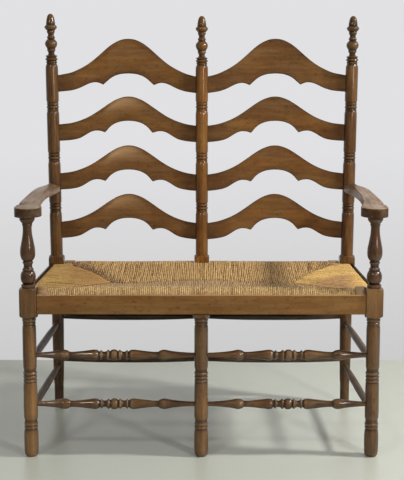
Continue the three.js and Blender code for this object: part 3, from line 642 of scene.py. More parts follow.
def front_post_mark(label, x, z):
    """The rings under a block are darker, and so are the supports.

    The right block is paler, the left one is dark with a pale knock. On the left and centre legs, the
    foot and the length above its rings are scuffed paler.
    """
    darker_under_block = 0.15 * smoothstep(z, 352, 366) if z < 385.9 else 0.0
    paled = 0.0
    if z <= 240:
        foot = smoothstep(z, 74, 60) * smoothstep(z, 2, 20)
        paled = 0.8 * foot + smoothstep(z, 100, 125) * smoothstep(z, 235, 150)
    if label == "centre":
        return 0.16 + darker_under_block - 0.22 * paled
    block = smoothstep(z, 380, 395)
    if label == "right":
        return 0.44 * smoothstep(z, 464, 480) + 0.26 - 0.36 * block + darker_under_block
    knock = smoothstep(math.hypot((x - 20) / 7, (z - 455) / 8), 1.0, 0.2)
    return 0.2 * smoothstep(z, 470, 480) + 0.18 * block + darker_under_block - 0.26 * paled - 1.2 * knock


def rear_posts():
    table = list(REAR_LEG_TABLE)
    for middle in RING_PLACES:
        table += [(middle + row[0], *row[1:]) for row in RING_TABLE]
    rear = turned("rear_post", table + FINIAL_TABLE, 48, 1.4, 1.3)
    rear = join(rear, square_block("rear_block", REAR_BLOCK_TABLE, REAR_BLOCK, 1.5))
    for label, side in THREE:
        name = "rear_post_" + label
        piece = copy_of(rear, "turned_" + name)
        drops = FINIAL_DROPS[label]
        move_points(piece, lambda x, y, z: (x, y, z - size_at(drops, z)))
        mark(piece, rear_post_mark)
        move_points(piece, lambda x, y, z: (x + side * SPLAY * above(z), y + LEAN * above(z), z))
        shift(piece, side * REAR_SPAN, REAR_Y)
        finish_piece(piece, OUTER_POST_WOOD if side else POST_WOOD, "post_wood", name)
    bpy.data.objects.remove(rear)


def front_posts():
    leg = turned("front_leg", LEG_TABLE, 48, 1.2, 1.9)
    support = turned("support", SUPPORT_TABLE, 48)
    block = square_block("front_block", FRONT_BLOCK_TABLE, FRONT_BLOCK, 3.2)
    for label, side in PAIR:
        name = "front_post_" + label
        piece = copy_of(leg, "turned_" + name)
        lower, upper = copy_of(block, "block_part"), copy_of(support, "support_part")
        for part, material in ((piece, FRONT_WOOD), (lower, FRONT_WOOD), (upper, SUPPORT_WOOD)):
            wear_material(part, material)
        join(piece, lower, upper)
        mark(piece, lambda x, y, z: front_post_mark(label, x, z))
        shift(piece, side * FRONT_SPAN, FRONT_Y)
        ride_and_replace(piece, "post_wood", name)
    bpy.data.objects.remove(support)

    centre = join(leg, block)
    centre.name = "turned_front_leg_centre"
    trim(centre, (0, 0, CENTRE_BLOCK_TOP * MM), (0, 0, 1))
    shift(centre, 0, FRONT_Y)
    mark(centre, lambda x, y, z: front_post_mark("centre", x, z))
    carve(centre, "DIFFERENCE", box("cutter", (-60, -320, BOARD_LOW), (60, BOARD_BACK, 500)))
    finish_piece(centre, FRONT_WOOD, "post_wood", "front_leg_centre")


# Stretchers. The tables give the distance from the middle and the diameter.

ORNATE_HALF = [
    (0, 30.2), (3, 29.8), (6.4, 27.8), (8.8, 24.6), (9.8, 21.4, "c"), (11.4, 21, "c"), (12.6, 24.2),
    (14, 27), (15.6, 28.2), (17.2, 27), (18.8, 24), (20.4, 21.2), (23, 18.8), (26.5, 17.6), (29.6, 18.6),
    (32, 21), (33.4, 24.6), (35, 27), (36.6, 24.8), (37.6, 20.4, "c"), (40.4, 19.6, "c"), (41.8, 23),
    (45, 26.8), (49.6, 28.7), (54, 29), (64, 26.8), (80, 22.8), (98, 18.9), (110, 17.2), (119.8, 17.2, "c"),
    (122, 21), (126, 24.9), (130.6, 27.6), (135.4, 28.9), (140, 28.2), (146, 25.8), (153.5, 22.8),
    (167, 19.2), (185, 15.8), (203, 13.4), (212, 12.8), (226, 12.6, "c"),
]
REAR_TIE_HALF = [(0, 26), (75, 25.2), (150, 21.6), (205, 17), (219, 16, "c")]
SIDE_TIE_HALF = [(0, 21), (85, 20.2), (170, 17.6), (235, 14.4), (250, 14, "c")]
# How far before the posts' middle lines the stretchers end, and how far outwards the front ones sit
TIE_STOP = 6
ORNATE_SHIFT = 4
# Heights of the front and rear stretchers and of the side and centre ones, and how much painted shade
# darkens the rear ones, which lie in the seat's shadow
TIE_LEVELS = (("upper", 282, 261, 0.8), ("lower", 146, 124.5, 0.45))
RIGHTWARD = Vector((1, 0, 0))
BACKWARD = Vector((0, 1, 0))


def both_ways(half, reach):
    """A whole stretcher's table from its half, stretched to reach from the middle to the end."""
    scale = reach / half[-1][0]
    rows = [(row[0] * scale, *row[1:]) for row in half]
    return [(-row[0], *row[1:]) for row in reversed(rows[1:])] + rows


def lay_tie(pattern, name, material, middle, direction, dark=None):
    piece = copy_of(pattern, "turned_" + name)
    # the rear stretchers are darkened with painted shade
    if dark:
        mark(piece, lambda x, y, z: dark)
    lay_between(piece, middle, middle + direction)
    finish_piece(piece, material, "stretcher_wood", name)


def stretchers():
    front = turned("front_tie", both_ways(ORNATE_HALF, FRONT_SPAN / 2 - TIE_STOP), 32, 1.2, 0.9)
    rear = turned("rear_tie", both_ways(REAR_TIE_HALF, REAR_SPAN / 2 - TIE_STOP), 24, 20)
    long_side = math.hypot(LEG_DEPTH, FRONT_SPAN - REAR_SPAN) / 2 - TIE_STOP
    side_tie = turned("side_tie", both_ways(SIDE_TIE_HALF, long_side), 24, 20)
    for level, cross_z, side_z, dark in TIE_LEVELS:
        for label, side in PAIR:
            lay_tie(front, f"front_stretcher_{level}_{label}", TIE_WOOD,
                    Vector((side * (FRONT_SPAN / 2 + ORNATE_SHIFT), FRONT_Y, cross_z)), RIGHTWARD)
            lay_tie(rear, f"rear_stretcher_{level}_{label}", TIE_WOOD,
                    Vector((side * REAR_SPAN / 2, REAR_Y, cross_z)), RIGHTWARD, dark)
        for label, side in THREE:
            name = f"side_stretcher_{level}_{label}" if side else f"centre_stretcher_{level}"
            start = Vector((side * FRONT_SPAN, FRONT_Y, side_z))
            end = Vector((side * REAR_SPAN, REAR_Y, side_z))
            lay_tie(side_tie, name, SIDE_TIE_WOOD, (start + end) / 2, (end - start) / 2)
    for pattern in (front, rear, side_tie):
        bpy.data.objects.remove(pattern)


# Back slats, numbered from the top

SLAT_HALF = (REAR_SPAN - 2 * POST_RADIUS) / 2
SLAT_MIDDLE = POST_RADIUS + SLAT_HALF
SLAT_BASES = (974, 824.5, 675, 525.5)
SLAT_END = 50.5
SLAT_THICK = 8
SLAT_BOW = 14
SLAT_TILT = 2.0
SLAT_TENON = 5.0
# Heights of a slat's edges above the edges of its end, by distance from its middle
LOW_EDGE = [
    (0, 62.4), (10, 62), (20, 60.8), (30, 58.6), (40, 55), (50, 49.6), (60, 41.4), (68, 32),
    (73.4, 26.4, "c"), (80, 28.8), (90, 31.3), (100, 31.8), (110, 30.1), (120, 25.9), (130, 20.1),
    (140, 13.9), (150, 8.8), (160, 5.6), (170, 3.6), (180, 2.1), (190, 1.1), (206, 0),
]
HIGH_EDGE = [
    (0, 86.4), (10, 85.8), (20, 83.6), (40, 76.1), (60, 64.5), (80, 50.8), (100, 37.2), (120, 25.2),
    (140, 15.8), (160, 8.7), (180, 3.6), (206, 0),
]
TOP_LOW_EDGE = [
    (0, 57.4), (20, 56), (40, 50.6), (55, 42.4), (68, 31.2), (77.6, 22.6, "c"), (84, 25.4), (92, 28.4),
    (101, 29.8), (110, 28.8), (120, 26), (130, 21.6), (140, 16.6), (150, 12), (160, 8.4), (170, 5.4),
    (180, 3.4), (206, 0),
]
TOP_HIGH_EDGE = [
    (0, 112), (10, 111.4), (20, 109.4), (40, 101), (60, 87.7), (80, 70.3), (100, 52.7), (120, 37),
    (140, 24.5), (160, 14.5), (180, 6.6), (206, 0),
]
SLAT_COLUMNS = 132
# The rows of points, by share of the height, and how dark those at the edges are
SLAT_SHARES = (0, 0.05, 0.25, 0.5, 0.66, 0.8, 0.95, 1)
SLAT_ROWS = len(SLAT_SHARES) - 1
SLAT_EDGE_MARKS = {0: 0.7, 1: 0.7, 0.05: 0.2, 0.95: 0.2}
# How strongly painted sheen pales the hump of each slat from the top; a value below zero darkens the hump
SLAT_PAINTED_SHEEN = {"left": (0.12, 0.62, 0.75, 0.5), "right": (-0.2, -0.26, 0.05, 0.06)}


def slat(name, side, number, painted_sheen):
    """A board with a shaped outline, bowed backwards and leaning with the posts.

    Painted sheen pales its hump, or darkens it when it is below zero.
    """
    low_table, high_table = (TOP_LOW_EDGE, TOP_HIGH_EDGE) if number == 1 else (LOW_EDGE, HIGH_EDGE)
    low_edge, high_edge = softened(low_table, 2.0), softened(high_table, 2.0)
    cusp = next(row[0] for row in low_table if len(row) > 2)
    base = SLAT_BASES[number - 1]
    reach = SLAT_HALF + SLAT_TENON
    clear_selection()
    bpy.ops.mesh.primitive_grid_add(x_subdivisions=SLAT_COLUMNS, y_subdivisions=SLAT_ROWS, size=2)
    piece = named(name)

    def spot(x, y):
        """How far along the slat a point of the flat grid lies, and its share of the height."""
        return x * MM * reach, SLAT_SHARES[round((y * MM + 1) / 2 * SLAT_ROWS)]

    def slat_marks(x, y, z):
        along, share = spot(x, y)
        edge = SLAT_EDGE_MARKS.get(share, 0.0)
        if edge > 0.5:
            return edge
        ends = 0.42 * smoothstep(abs(along), 120, 205)
        # painted sheen on the hump
        sheen = painted_sheen * bell(along - 8, 46) * smoothstep(share, 0.3, 0.85)
        # a narrow painted gleam under the top edge, right of the hump
        gleam = 0.7 * max(0.0, painted_sheen) * bell(along - 44, 26) * bell(share - 0.82, 0.14)
        return edge + ends - sheen - gleam

    def place(x, y, z):
        along, share = spot(x, y)
        # the column nearest the cusp moves onto it, so that the point stays crisp
        if abs(abs(along) - cusp) < reach / SLAT_COLUMNS:
            along = math.copysign(cusp, along)
        distance = abs(along)
        level = base + SLAT_TILT * along / SLAT_HALF
        low = level + size_at(low_edge, distance)
        high = level + SLAT_END + size_at(high_edge, distance)
        height = low + share * (high - low)
        bow = SLAT_BOW * (1 - min(1.0, distance / SLAT_HALF) ** 2)
        # the outer end reaches into a post that leans outwards
        lean_out = SPLAY * above(height) * smoothstep(along, 170, reach)
        return (side * (SLAT_MIDDLE + along + lean_out), REAR_Y + LEAN * above(height) + bow, height)

    mark(piece, slat_marks)
    move_points(piece, place)
    apply_modifier(piece, "SOLIDIFY", thickness=SLAT_THICK * MM, offset=0)
    outward_normals(piece)
    bevel(piece, 1.2, 2, 50)
    smooth(piece, 40)
    return piece


def slats():
    for label, side in PAIR:
        for number, painted_sheen in enumerate(SLAT_PAINTED_SHEEN[label], 1):
            piece = slat(f"shaped_slat_{label}_{number}", side, number, painted_sheen)
            finish_piece(piece, SLAT_WOOD, "slat_wood", f"slat_{label}_{number}")


# Arms. The outline's rows give the distance out from the arm's line and the place along it, both as shares.

ARM_OUTLINE = [
    (0, 0), (0.3, 0.003), (0.5, 0.012), (0.83, 0.038), (0.96, 0.07), (1, 0.12), (1, 0.168, "c"),
    (0.5, 0.184, "c"), (0.5, 0.2, "c"), (0.95, 0.216, "c"), (1.02, 0.3), (1.05, 0.45), (1.08, 0.6),
    (1.07, 0.72), (0.96, 0.82), (0.71, 0.89), (0.51, 0.95), (0.45, 1), (0.45, 1.03, "c"),
    (-0.44, 1.03, "c"), (-0.44, 1), (-0.31, 0.9), (-0.1, 0.8), (0, 0.7), (-0.01, 0.58), (-0.11, 0.46),
    (-0.24, 0.36), (-0.42, 0.26), (-0.6, 0.2), (-0.84, 0.14), (-0.97, 0.09), (-0.88, 0.05), (-0.5, 0.012),
]
ARM_BOTTOM = 658.3
ARM_THICK = 25.0
ARM_TOP = ARM_BOTTOM + ARM_THICK
ARM_RISE = 15.0
ARM_HALF = 37.0
ARM_START = FRONT_Y - ARM_NOSE
ARM_LENGTH = ARM_NOSE + LEG_DEPTH - POST_RADIUS
# Where the planed flat starts, and where the arm is cut across so that its top can rise, as shares
ARM_FLAT_START = 0.3
ARM_CUTS = (0.128, ARM_FLAT_START, 0.45, 0.6, 0.75, 0.88)


def flowing(points, steps):
    """A closed line with smooth curves between points. A third value marks a crisp corner."""
    count = len(points)
    flat = [Vector(p[:2]) for p in points]
    line = []
    for i in range(count):
        after = (i + 1) % count
        a, b = flat[i], flat[after]
        leave = (b - a) if len(points[i]) > 2 else (b - flat[i - 1]) / 2
        arrive = (b - a) if len(points[after]) > 2 else (flat[(i + 2) % count] - a) / 2
        line += [curve(k / steps, a, b, leave, arrive) for k in range(steps)]
    return line


def arm_rise(y):
    flat_end = FRONT_Y + FRONT_BLOCK / 2
    return ARM_RISE * max(0.0, (y - flat_end) / (REAR_Y - POST_RADIUS - flat_end))


def arm(name, side):
    rear_span = REAR_SPAN + SPLAY * above(ARM_BOTTOM)
    rows = []
    for outward, along, *crisp in ARM_OUTLINE:
        x = side * (FRONT_SPAN + along * (rear_span - FRONT_SPAN) + outward * ARM_HALF)
        rows.append((x, ARM_START + along * ARM_LENGTH, *crisp))
    piece = draw_line(name, [(p.x * MM, p.y * MM, ARM_BOTTOM * MM) for p in flowing(rows, 5)])
    edit(piece)
    bpy.ops.mesh.edge_face_add()
    bpy.ops.mesh.extrude_region_move(TRANSFORM_OT_translate={"value": (0, 0, ARM_THICK * MM)})
    leave_edit()
    outward_normals(piece)
    for share in ARM_CUTS:
        edit(piece)
        bpy.ops.mesh.bisect(plane_co=(0, (ARM_START + share * ARM_LENGTH) * MM, 0), plane_no=(0, 1, 0))
        leave_edit()
    # a flat planed along the inner edge, wider and deeper towards the rear post
    first_y = ARM_START + ARM_FLAT_START * ARM_LENGTH
    post_y = ARM_START + ARM_LENGTH
    first = Vector((side * (FRONT_SPAN - 18.5), first_y, ARM_TOP))
    outer = Vector((side * (rear_span + 13), post_y, ARM_TOP))
    inner = Vector((side * (rear_span - 16), post_y, ARM_TOP - 9))
    normal = (outer - first).cross(inner - first).normalized()
    normal = normal if normal.z > 0 else -normal
    for offset, cut in ((0.0, True), (1.0, False)):
        edit(piece)
        bpy.ops.mesh.select_all(action="DESELECT")
        leave_edit()
        for face in piece.data.polygons:
            face.select = face.center.y / MM > first_y
        bpy.ops.object.mode_set(mode="EDIT")
        bpy.ops.mesh.select_mode(type="FACE")
        plane = {"plane_co": (outer - normal * offset) * MM, "plane_no": normal}
        bpy.ops.mesh.bisect(**plane, clear_outer=cut, use_fill=cut)
        bpy.ops.mesh.select_mode(type="VERT")
        leave_edit()
    bevel(piece, 1.5, 3, 60, use_clamp_overlap=False)

    def arm_darkening(x, y, z):
        """The planed flat is dark, and so are the sides, most at the nose."""
        on_flat = abs((outer - Vector((x, y, z))).dot(normal)) < 0.5
        if y > first_y and on_flat and z < ARM_TOP - 0.5:
            return 0.65
        at_nose = smoothstep(y, ARM_START + 70, ARM_START + 25)
        return smoothstep(z, ARM_TOP - 0.8, ARM_TOP - 1.4) * (0.2 + 0.75 * at_nose)

    mark(piece, arm_darkening)
    move_points(piece, lambda x, y, z: (x, y, z + arm_rise(y)))
    smooth(piece, 35)
    return piece


def arms():
    for label, side in PAIR:
        finish_piece(arm(f"shaped_arm_{label}", side), ARM_WOOD, "arm_wood", f"arm_{label}")


# Rails and facing strips

# Where the rush leaves the front and rear rails bare, from the middle line
FRONT_FIELD = 415.0
REAR_BARE = REAR_SPAN - 56.7
FRONT_RAIL_END = FRONT_SPAN - FRONT_BLOCK / 2
FRONT_RAIL_TOP = 468
FRONT_RAIL_LOW = 434
# The slope of the front rail's bare ends: where its top edge lies, and how it falls to the board
SLOPE_EDGE = -258.9
SLOPE = Vector((0, -17, 20.7)).normalized()
REAR_RAIL_HALF = 14
# Heights of the side rails at the front and at the rear
SIDE_RAIL_FRONT = 428
SIDE_RAIL_REAR = 420
# Where the rear rails end beside the middle of a post
REAR_RAIL_STOP = 25.3
SIDE_RAIL_TABLE = [(0, 14, "c"), (16, 14, "c"), (25, 22), (470, 22), (479, 14, "c"), (496, 14, "c")]


def front_rails():
    low, high = (-FRONT_RAIL_END, BOARD_FRONT, BOARD_LOW), (FRONT_RAIL_END, BOARD_BACK, BOARD_HIGH)
    piece = board("front_board", low, high, 2.0)
    # paler along the top edge, partly a scuffed arris and partly painted highlight; darker along the bottom
    # edge and towards the right
    mark(piece, lambda x, y, z: (-0.8 * smoothstep(z, 448.0, 449.4) + 0.35 * smoothstep(z, 398.6, 397.4)
                                 + 0.14 * smoothstep(x, -200, 440)))
    finish_piece(piece, RAIL_WOOD, "rail_wood", "front_facing")

    # the front rail shows at its two ends, where its top slopes down to the board
    tenon = FRONT_RAIL_END + 12
    piece = board("front_rail_bar", (-tenon, -267, FRONT_RAIL_LOW), (tenon, -246, 454), 4)
    for _, side in PAIR:
        inner, outer = sorted((side * FRONT_FIELD, side * FRONT_RAIL_END))
        low, high = (inner, BOARD_BACK + FIT, FRONT_RAIL_LOW), (outer, -250, FRONT_RAIL_TOP)
        end_block = board("front_rail_end", low, high, 2.5)
        trim(end_block, (0, SLOPE_EDGE * MM, FRONT_RAIL_TOP * MM), SLOPE)
        join(piece, end_block)
    # both bare ends are painted paler, the right one much more, where painted light lifts the shade that
    # falls on it
    mark(piece, lambda x, y, z: -0.75 if x > 0 else -0.1)
    finish_piece(piece, BARE_WOOD, "rail_wood", "front_seat_rail")


def side_and_rear_rails():
    for label, side in PAIR:
        def between(inner, outer, low, high):
            near, far = sorted((side * inner, side * outer))
            return (near, REAR_Y - REAR_RAIL_HALF, low), (far, REAR_Y + REAR_RAIL_HALF, high)

        outer = REAR_SPAN - REAR_RAIL_STOP
        piece = board(f"rear_rail_bar_{label}", *between(REAR_RAIL_STOP, outer, 424, 452), 2.5)
        join(piece, board("rear_rail_end", *between(REAR_BARE, outer, 426, 456), 2.5))
        finish_piece(piece, BARE_WOOD, "rail_wood", f"rear_seat_rail_{label}")

        bar = turned(f"side_rail_bar_{label}", SIDE_RAIL_TABLE, 16, 20)
        front_end = (side * 450.3, FRONT_Y + 7, SIDE_RAIL_FRONT)
        lay_between(bar, front_end, (side * 435.7, REAR_Y - 9, SIDE_RAIL_REAR))
        finish_piece(bar, SIDE_TIE_WOOD, "rail_wood", f"side_seat_rail_{label}")

        low, high = (-STRIP_HALF, FRONT_Y + 17, 408), (STRIP_HALF, REAR_Y - 19, 452)
        strip = board(f"side_strip_{label}", low, high, 1.2, 2)
        turn = math.atan2((FRONT_SPAN - REAR_SPAN) * side, LEG_DEPTH)
        strip.data.transform(Matrix.Rotation(turn, 4, "Z"))
        shift(strip, side * ((FRONT_SPAN + REAR_SPAN) / 2 + STRIP_OUTSET), 0)
        finish_piece(strip, DARK_WOOD, "dark_wood", f"side_facing_{label}")


# Rush seat

CORD_PITCH = 5.5
FRONT_PITCH = 5.1
CORD_RADIUS = 2.95
FRONT_CORD_RADIUS = 2.7
CORD_SIDES = 8
FRONT_EDGE = -278.9
REAR_EDGE = 267.1
HALF_DEPTH = (REAR_EDGE - FRONT_EDGE) / 2
REAR_FIELD = 399.0
# Heights of the rush along the front and rear rims, half way back and along the side rims, and its underside
FRONT_RIM = 474.0
REAR_RIM = 458.0
MIDDLE_RIM = 466.0
SIDE_RIM = 450.0
UNDERSIDE = 424.0
CORD_END = 414
# The seam between the front and rear fields runs from the middle line to an apex on each side. From there
# the diagonals run to the rails: distance from the middle line, then depth.
APEX = 257.0
SEAM = -20.0
FRONT_DIAGONAL = [(APEX, SEAM), (300, -72), (350, -136), (400, -202), (431, -246), (500, -246.1)]
REAR_DIAGONAL = [
    (APEX, SEAM), (281, 26), (303, 80), (331, 128), (358, 158), (385, 188), (396, 204), (400.5, 220),
    (403, 236), (500, 236.1),
]
# The same lines by depth
FRONT_REACH = sorted((depth, distance) for distance, depth in FRONT_DIAGONAL)
REAR_REACH = sorted((depth, distance) for distance, depth in REAR_DIAGONAL)
# How the cords wind round their rails: how far behind a line of the rail, and how far below the top
FRONT_WRAP = [
    (14, 0.6), (8, 2.6), (2, 6.4), (-3.4, 11.4), (-6.4, 17), (-6.9, 24), (-6.9, 36), (-3, 40), (6, 41.5),
]
REAR_WRAP = [
    (-7, 0.3), (-2, 1.6), (1.6, 4.6), (CORD_RADIUS, 9), (CORD_RADIUS, 17), (CORD_RADIUS, 25), (0.5, 31),
    (-6, 33),
]
POST_WRAP = [(1, 3), (1, 10), (0, 26), (-4, 33)]
# Depths of the gaps between groups of the left side's cords, which painted shade marks
LEFT_GAPS = (-92, -132, -168, -200, -228)


def half_width(y):
    share = (y - FRONT_Y) / LEG_DEPTH
    return FRONT_SPAN + share * (REAR_SPAN - FRONT_SPAN) + STRIP_OUTSET - STRIP_HALF - FIT


def rush_top(x, y):
    """Height of the woven seat: high at the rails, sagging under the two sitters."""
    to_side, to_front, to_rear = half_width(y) - abs(x), y - FRONT_EDGE, REAR_EDGE - y
    nearest = min(to_front, to_rear)
    rim = FRONT_RIM - 5 * smoothstep(abs(x), 270, 400) if to_front < to_rear else REAR_RIM
    rim += (MIDDLE_RIM - rim) * nearest / HALF_DEPTH
    rim += (SIDE_RIM - rim) * smoothstep(nearest - to_side, -HALF_DEPTH / 4, HALF_DEPTH / 4)
    sitters = 1 - math.cos(math.pi * x / FRONT_SPAN) ** 2
    middle = MIDDLE_RIM - 22 - 9 * sitters
    depth = min(1.0, max(0.0, min(to_side, nearest)) / HALF_DEPTH)
    return rim + (middle - rim) * math.sin(math.pi / 2 * depth)


def side_reach(y):
    """How far in towards the middle line the side cords reach, at a depth."""
    return size_at(FRONT_REACH if y < SEAM else REAR_REACH, y)


def tube(points, radius, across):
    """Rings of a cord round a path, and how far along each ring lies. Across is its sideways direction."""
    rings = []
    travelled = [0.0]
    for i, point in enumerate(points):
        direction = (points[min(i + 1, len(points) - 1)] - points[max(i - 1, 0)]).normalized()
        up = across.cross(direction).normalized()
        if i:
            travelled.append(travelled[-1] + (point - points[i - 1]).length)
        angles = [2 * math.pi * k / CORD_SIDES for k in range(CORD_SIDES)]
        rings.append([point + radius * (math.cos(a) * across + math.sin(a) * up) for a in angles])
    return rings, travelled


def cord_field(name, paths, across, seed, stain_rule, end_rule, radius):
    """One mesh of many twisted cords, with each cord's tone, stains and crown, and a UV along its twist."""
    draw = random.Random(seed)
    points, faces, uvs, tones, stains, crowns = [], [], [], [], [], []
    sides = CORD_SIDES
    for path in paths:
        rings, travelled = tube(path, radius, across)
        start = len(points)
        tone = draw.random()
        turn = draw.random()
        for ring, place in zip(rings, path):
            points += [p * MM for p in ring]
            tones += [tone] * sides
            stains += [stain_rule(place.x, place.y)] * sides
            # the crown carries painted shade: low at each cord's sides, where it meets its neighbours, lower
            # near its marked ends, and -1 on the underside
            if place.z < UNDERSIDE:
                crowns += [-1.0] * sides
                continue
            open_share = 1 - end_rule(place.x, place.y)
            crowns += [open_share * abs(math.sin(2 * math.pi * k / sides)) for k in range(sides)]
        for i in range(len(rings) - 1):
            a, b = start + i * sides, start + (i + 1) * sides
            low, high = travelled[i] / 100, travelled[i + 1] / 100
            for k in range(sides):
                n = (k + 1) % sides
                faces.append((a + k, a + n, b + n, b + k))
                uvs += [(low, turn + k / sides), (low, turn + (k + 1) / sides),
                        (high, turn + (k + 1) / sides), (high, turn + k / sides)]
        for first, order in ((start, -1), (start + (len(rings) - 1) * sides, 1)):
            faces.append(tuple(range(first, first + sides))[::order])
            uvs += [(0, 0)] * sides
    mesh = bpy.data.meshes.new(name)
    mesh.from_pydata(points, [], faces)
    layer = mesh.uv_layers.new(name="cord")
    for loop, uv in zip(layer.data, uvs):
        loop.uv = uv
    piece = bpy.data.objects.new(name, mesh)
    for label, values in (("tone", tones), ("stain", stains), ("crown", crowns)):
        keep_values(piece, label, values)
    bpy.context.scene.collection.objects.link(piece)
    smooth(piece, 70)
    outward_normals(piece)
    return piece


def wandering(draw, size):
    """A small smooth sideways drift along a cord."""
    first, second = draw.uniform(0, 6.28), draw.uniform(0, 6.28)
    strong = draw.uniform(0.3, 1.0) * size
    return lambda t: strong * (0.6 * math.sin(first + 5 * t) + 0.4 * math.sin(second + 13 * t))


def upper_run(point, top, start, near, sign, steps, sinking, drift, lift):
    """The seen part of a cord: up out of the seat at its start, then over it to near the rail.

    Point makes a place from a distance along the cord, a drift and a height. Sinking is the distance over
    which the cord comes up, and how deep it lies at its start.
    """
    reach, depth = sinking
    path = [point(start - sign * 2.5, 0, top(start) - 16), point(start - sign * 0.6, 0, top(start) - 9)]
    for k in range(steps + 1):
        t = k / steps
        out = start + sign * 1.8 + t * (near - start - sign * 1.8)
        sunk = depth * max(0.0, 1 - abs(out - start) / reach) ** 2
        path.append(point(out, drift(t), top(out) - CORD_RADIUS - sunk + lift))
    return path


def rail_cords(front, seed):
    """Cords that run from the seam over the front or rear rail and back underneath."""
    draw = random.Random(seed)
    field_end, pitch, sign = (FRONT_FIELD, FRONT_PITCH, -1) if front else (REAR_FIELD, CORD_PITCH, 1)
    diagonal, sinking = (FRONT_DIAGONAL, (5.0, 1.2)) if front else (REAR_DIAGONAL, (13.0, 6.5))
    count = round(2 * field_end / pitch)
    r = CORD_RADIUS
    paths = []
    for i in range(count):
        x = -field_end + (i + 0.5) * 2 * field_end / count
        seam = size_at(diagonal, abs(x))
        lift = draw.uniform(-0.8, 0.7)
        drift = wandering(draw, 1.2)
        start = seam + draw.uniform(-2.4, 2.4)
        if front:
            near, line, wrap = FRONT_Y + 21, FRONT_Y, FRONT_WRAP
        elif abs(x) < REAR_BLOCK / 2 + r:
            near = line = REAR_Y - REAR_BLOCK / 2 - r - 1
            wrap = POST_WRAP
        else:
            near, line, wrap = REAR_Y - 11, REAR_Y + REAR_RAIL_HALF, REAR_WRAP
        path = upper_run(lambda y, drifted, z: Vector((x + drifted, y, z)), lambda y: rush_top(x, y),
                         start, near, sign, 14, sinking, drift, lift)
        top = rush_top(x, near) - r + lift * 0.4
        path += [Vector((x, line + back, top - down)) for back, down in wrap]
        last_y, last_z = line + wrap[-1][0], top - wrap[-1][1]
        for k in range(1, 6):
            t = k / 5
            y = last_y + t * (seam + sign * 2 - last_y)
            z = last_z + (404 + r - last_z) * math.sin(math.pi / 2 * min(1.0, 1.4 * t))
            path.append(Vector((x, y, z)))
        path.append(Vector((x, seam, CORD_END)))
        paths.append(path)
    return paths


def side_cords(side, seed):
    """Cords that run from the diagonals over a side rail and back underneath."""
    draw = random.Random(seed)
    first, last = FRONT_Y + 24.5, REAR_Y - 14.5
    count = round((last - first) / CORD_PITCH)
    paths = []
    for i in range(count):
        y = first + (i + 0.5) * (last - first) / count
        reach = side_reach(y)
        lift = draw.uniform(-0.8, 0.7) - (2.2 if y < -150 and draw.random() < 0.22 else 0.0)
        drift = wandering(draw, 1.6)
        beside_post = y > REAR_Y - REAR_BLOCK / 2 - CORD_RADIUS
        out = REAR_SPAN - REAR_BLOCK / 2 if beside_post else half_width(y)
        rail_z = SIDE_RAIL_FRONT + (SIDE_RAIL_REAR - SIDE_RAIL_FRONT) * (y - FRONT_Y) / LEG_DEPTH
        start = min(reach, out - 12) + draw.uniform(-2.4, 2.4)
        path = upper_run(lambda x, drifted, z: Vector((side * x, y + drifted, z)), lambda x: rush_top(x, y),
                         start, out - 9, 1, 12, (5.0, 1.2), drift, lift)
        top = path[-1].z
        rim = out - CORD_RADIUS - FIT
        low = rail_z - 14.8
        wrap = [(out - 5.6, top - 1), (rim, top - 4.4), (rim, top - 11), (rim, rail_z - 2),
                (rim, rail_z - 7), (out - 6, rail_z - 13), (out - 12, low)]
        wrap += [(out - 12 + k / 4 * (start + 2 - out + 12), low + k / 4 * (405 - low)) for k in range(1, 5)]
        wrap.append((start, CORD_END))
        paths.append(path + [Vector((side * x, y, z)) for x, z in wrap])
    return paths


def rear_ends(x, y):
    """Painted shade darkens the rear cords where they go down at the seam and at the diagonals."""
    strength = 0.5 if abs(x) <= APEX else (1.0 if x < 0 else 0.55)
    return strength * smoothstep(y - size_at(REAR_DIAGONAL, abs(x)), 13, 3)


def side_ends(x, y):
    """Painted shade darkens the side cords along the front diagonals, and the left ones in the gaps between
    groups.
    """
    strength = 0.0 if y >= SEAM else (1.0 if x < 0 else 0.5)
    ends = strength * smoothstep(abs(x) - side_reach(y), 17, 5)
    if x > 0:
        return ends
    wavy = y + 4 * math.sin(x / 19) + 0.06 * (x + 350)
    gaps = max(bell(wavy - gap, 4.5) for gap in LEFT_GAPS)
    return max(ends, 0.95 * gaps * smoothstep(-x - side_reach(y), 150, 90))


def front_stains(x, y):
    """The flat top of the front field is greyer than its rounded edge."""
    return 0.62 * smoothstep(y, -256, -206)


def rear_stains_and_shadow(x, y):
    """Darker beside the left diagonal, along the seam and the rear edge, and on the right, at its end and in
    a patch that is partly a stain and partly the arm's painted shadow.
    """
    return max(
        smoothstep(x + size_at(REAR_REACH, y), 66, 12),
        # a patch that is partly a stain and partly painted shadow of the arm
        0.28 * smoothstep(math.hypot((x - 232) / 100, (y + 12) / 80), 1.1, 0.1),
        0.8 * smoothstep(x, 325, 390),
        0.4 * smoothstep(y, 20, -10),
        0.75 * smoothstep(y, 238, 254),
    )


def beside_rear_corner(x, y):
    return 0.9 * smoothstep(y, 196, 214) * smoothstep(abs(x), 428, 410)


def left_stains(x, y):
    return max(0.75 * smoothstep(-x - 0.3 * y, 430, 330), beside_rear_corner(x, y))


def right_stains(x, y):
    lower = smoothstep(y - 0.9 * (x - 330), 10, -60) * smoothstep(x, 452, 405)
    by_apex = 0.8 * smoothstep(x - APEX, 60, 10) if y < SEAM else 0.0
    return max(lower, by_apex, beside_rear_corner(x, y))


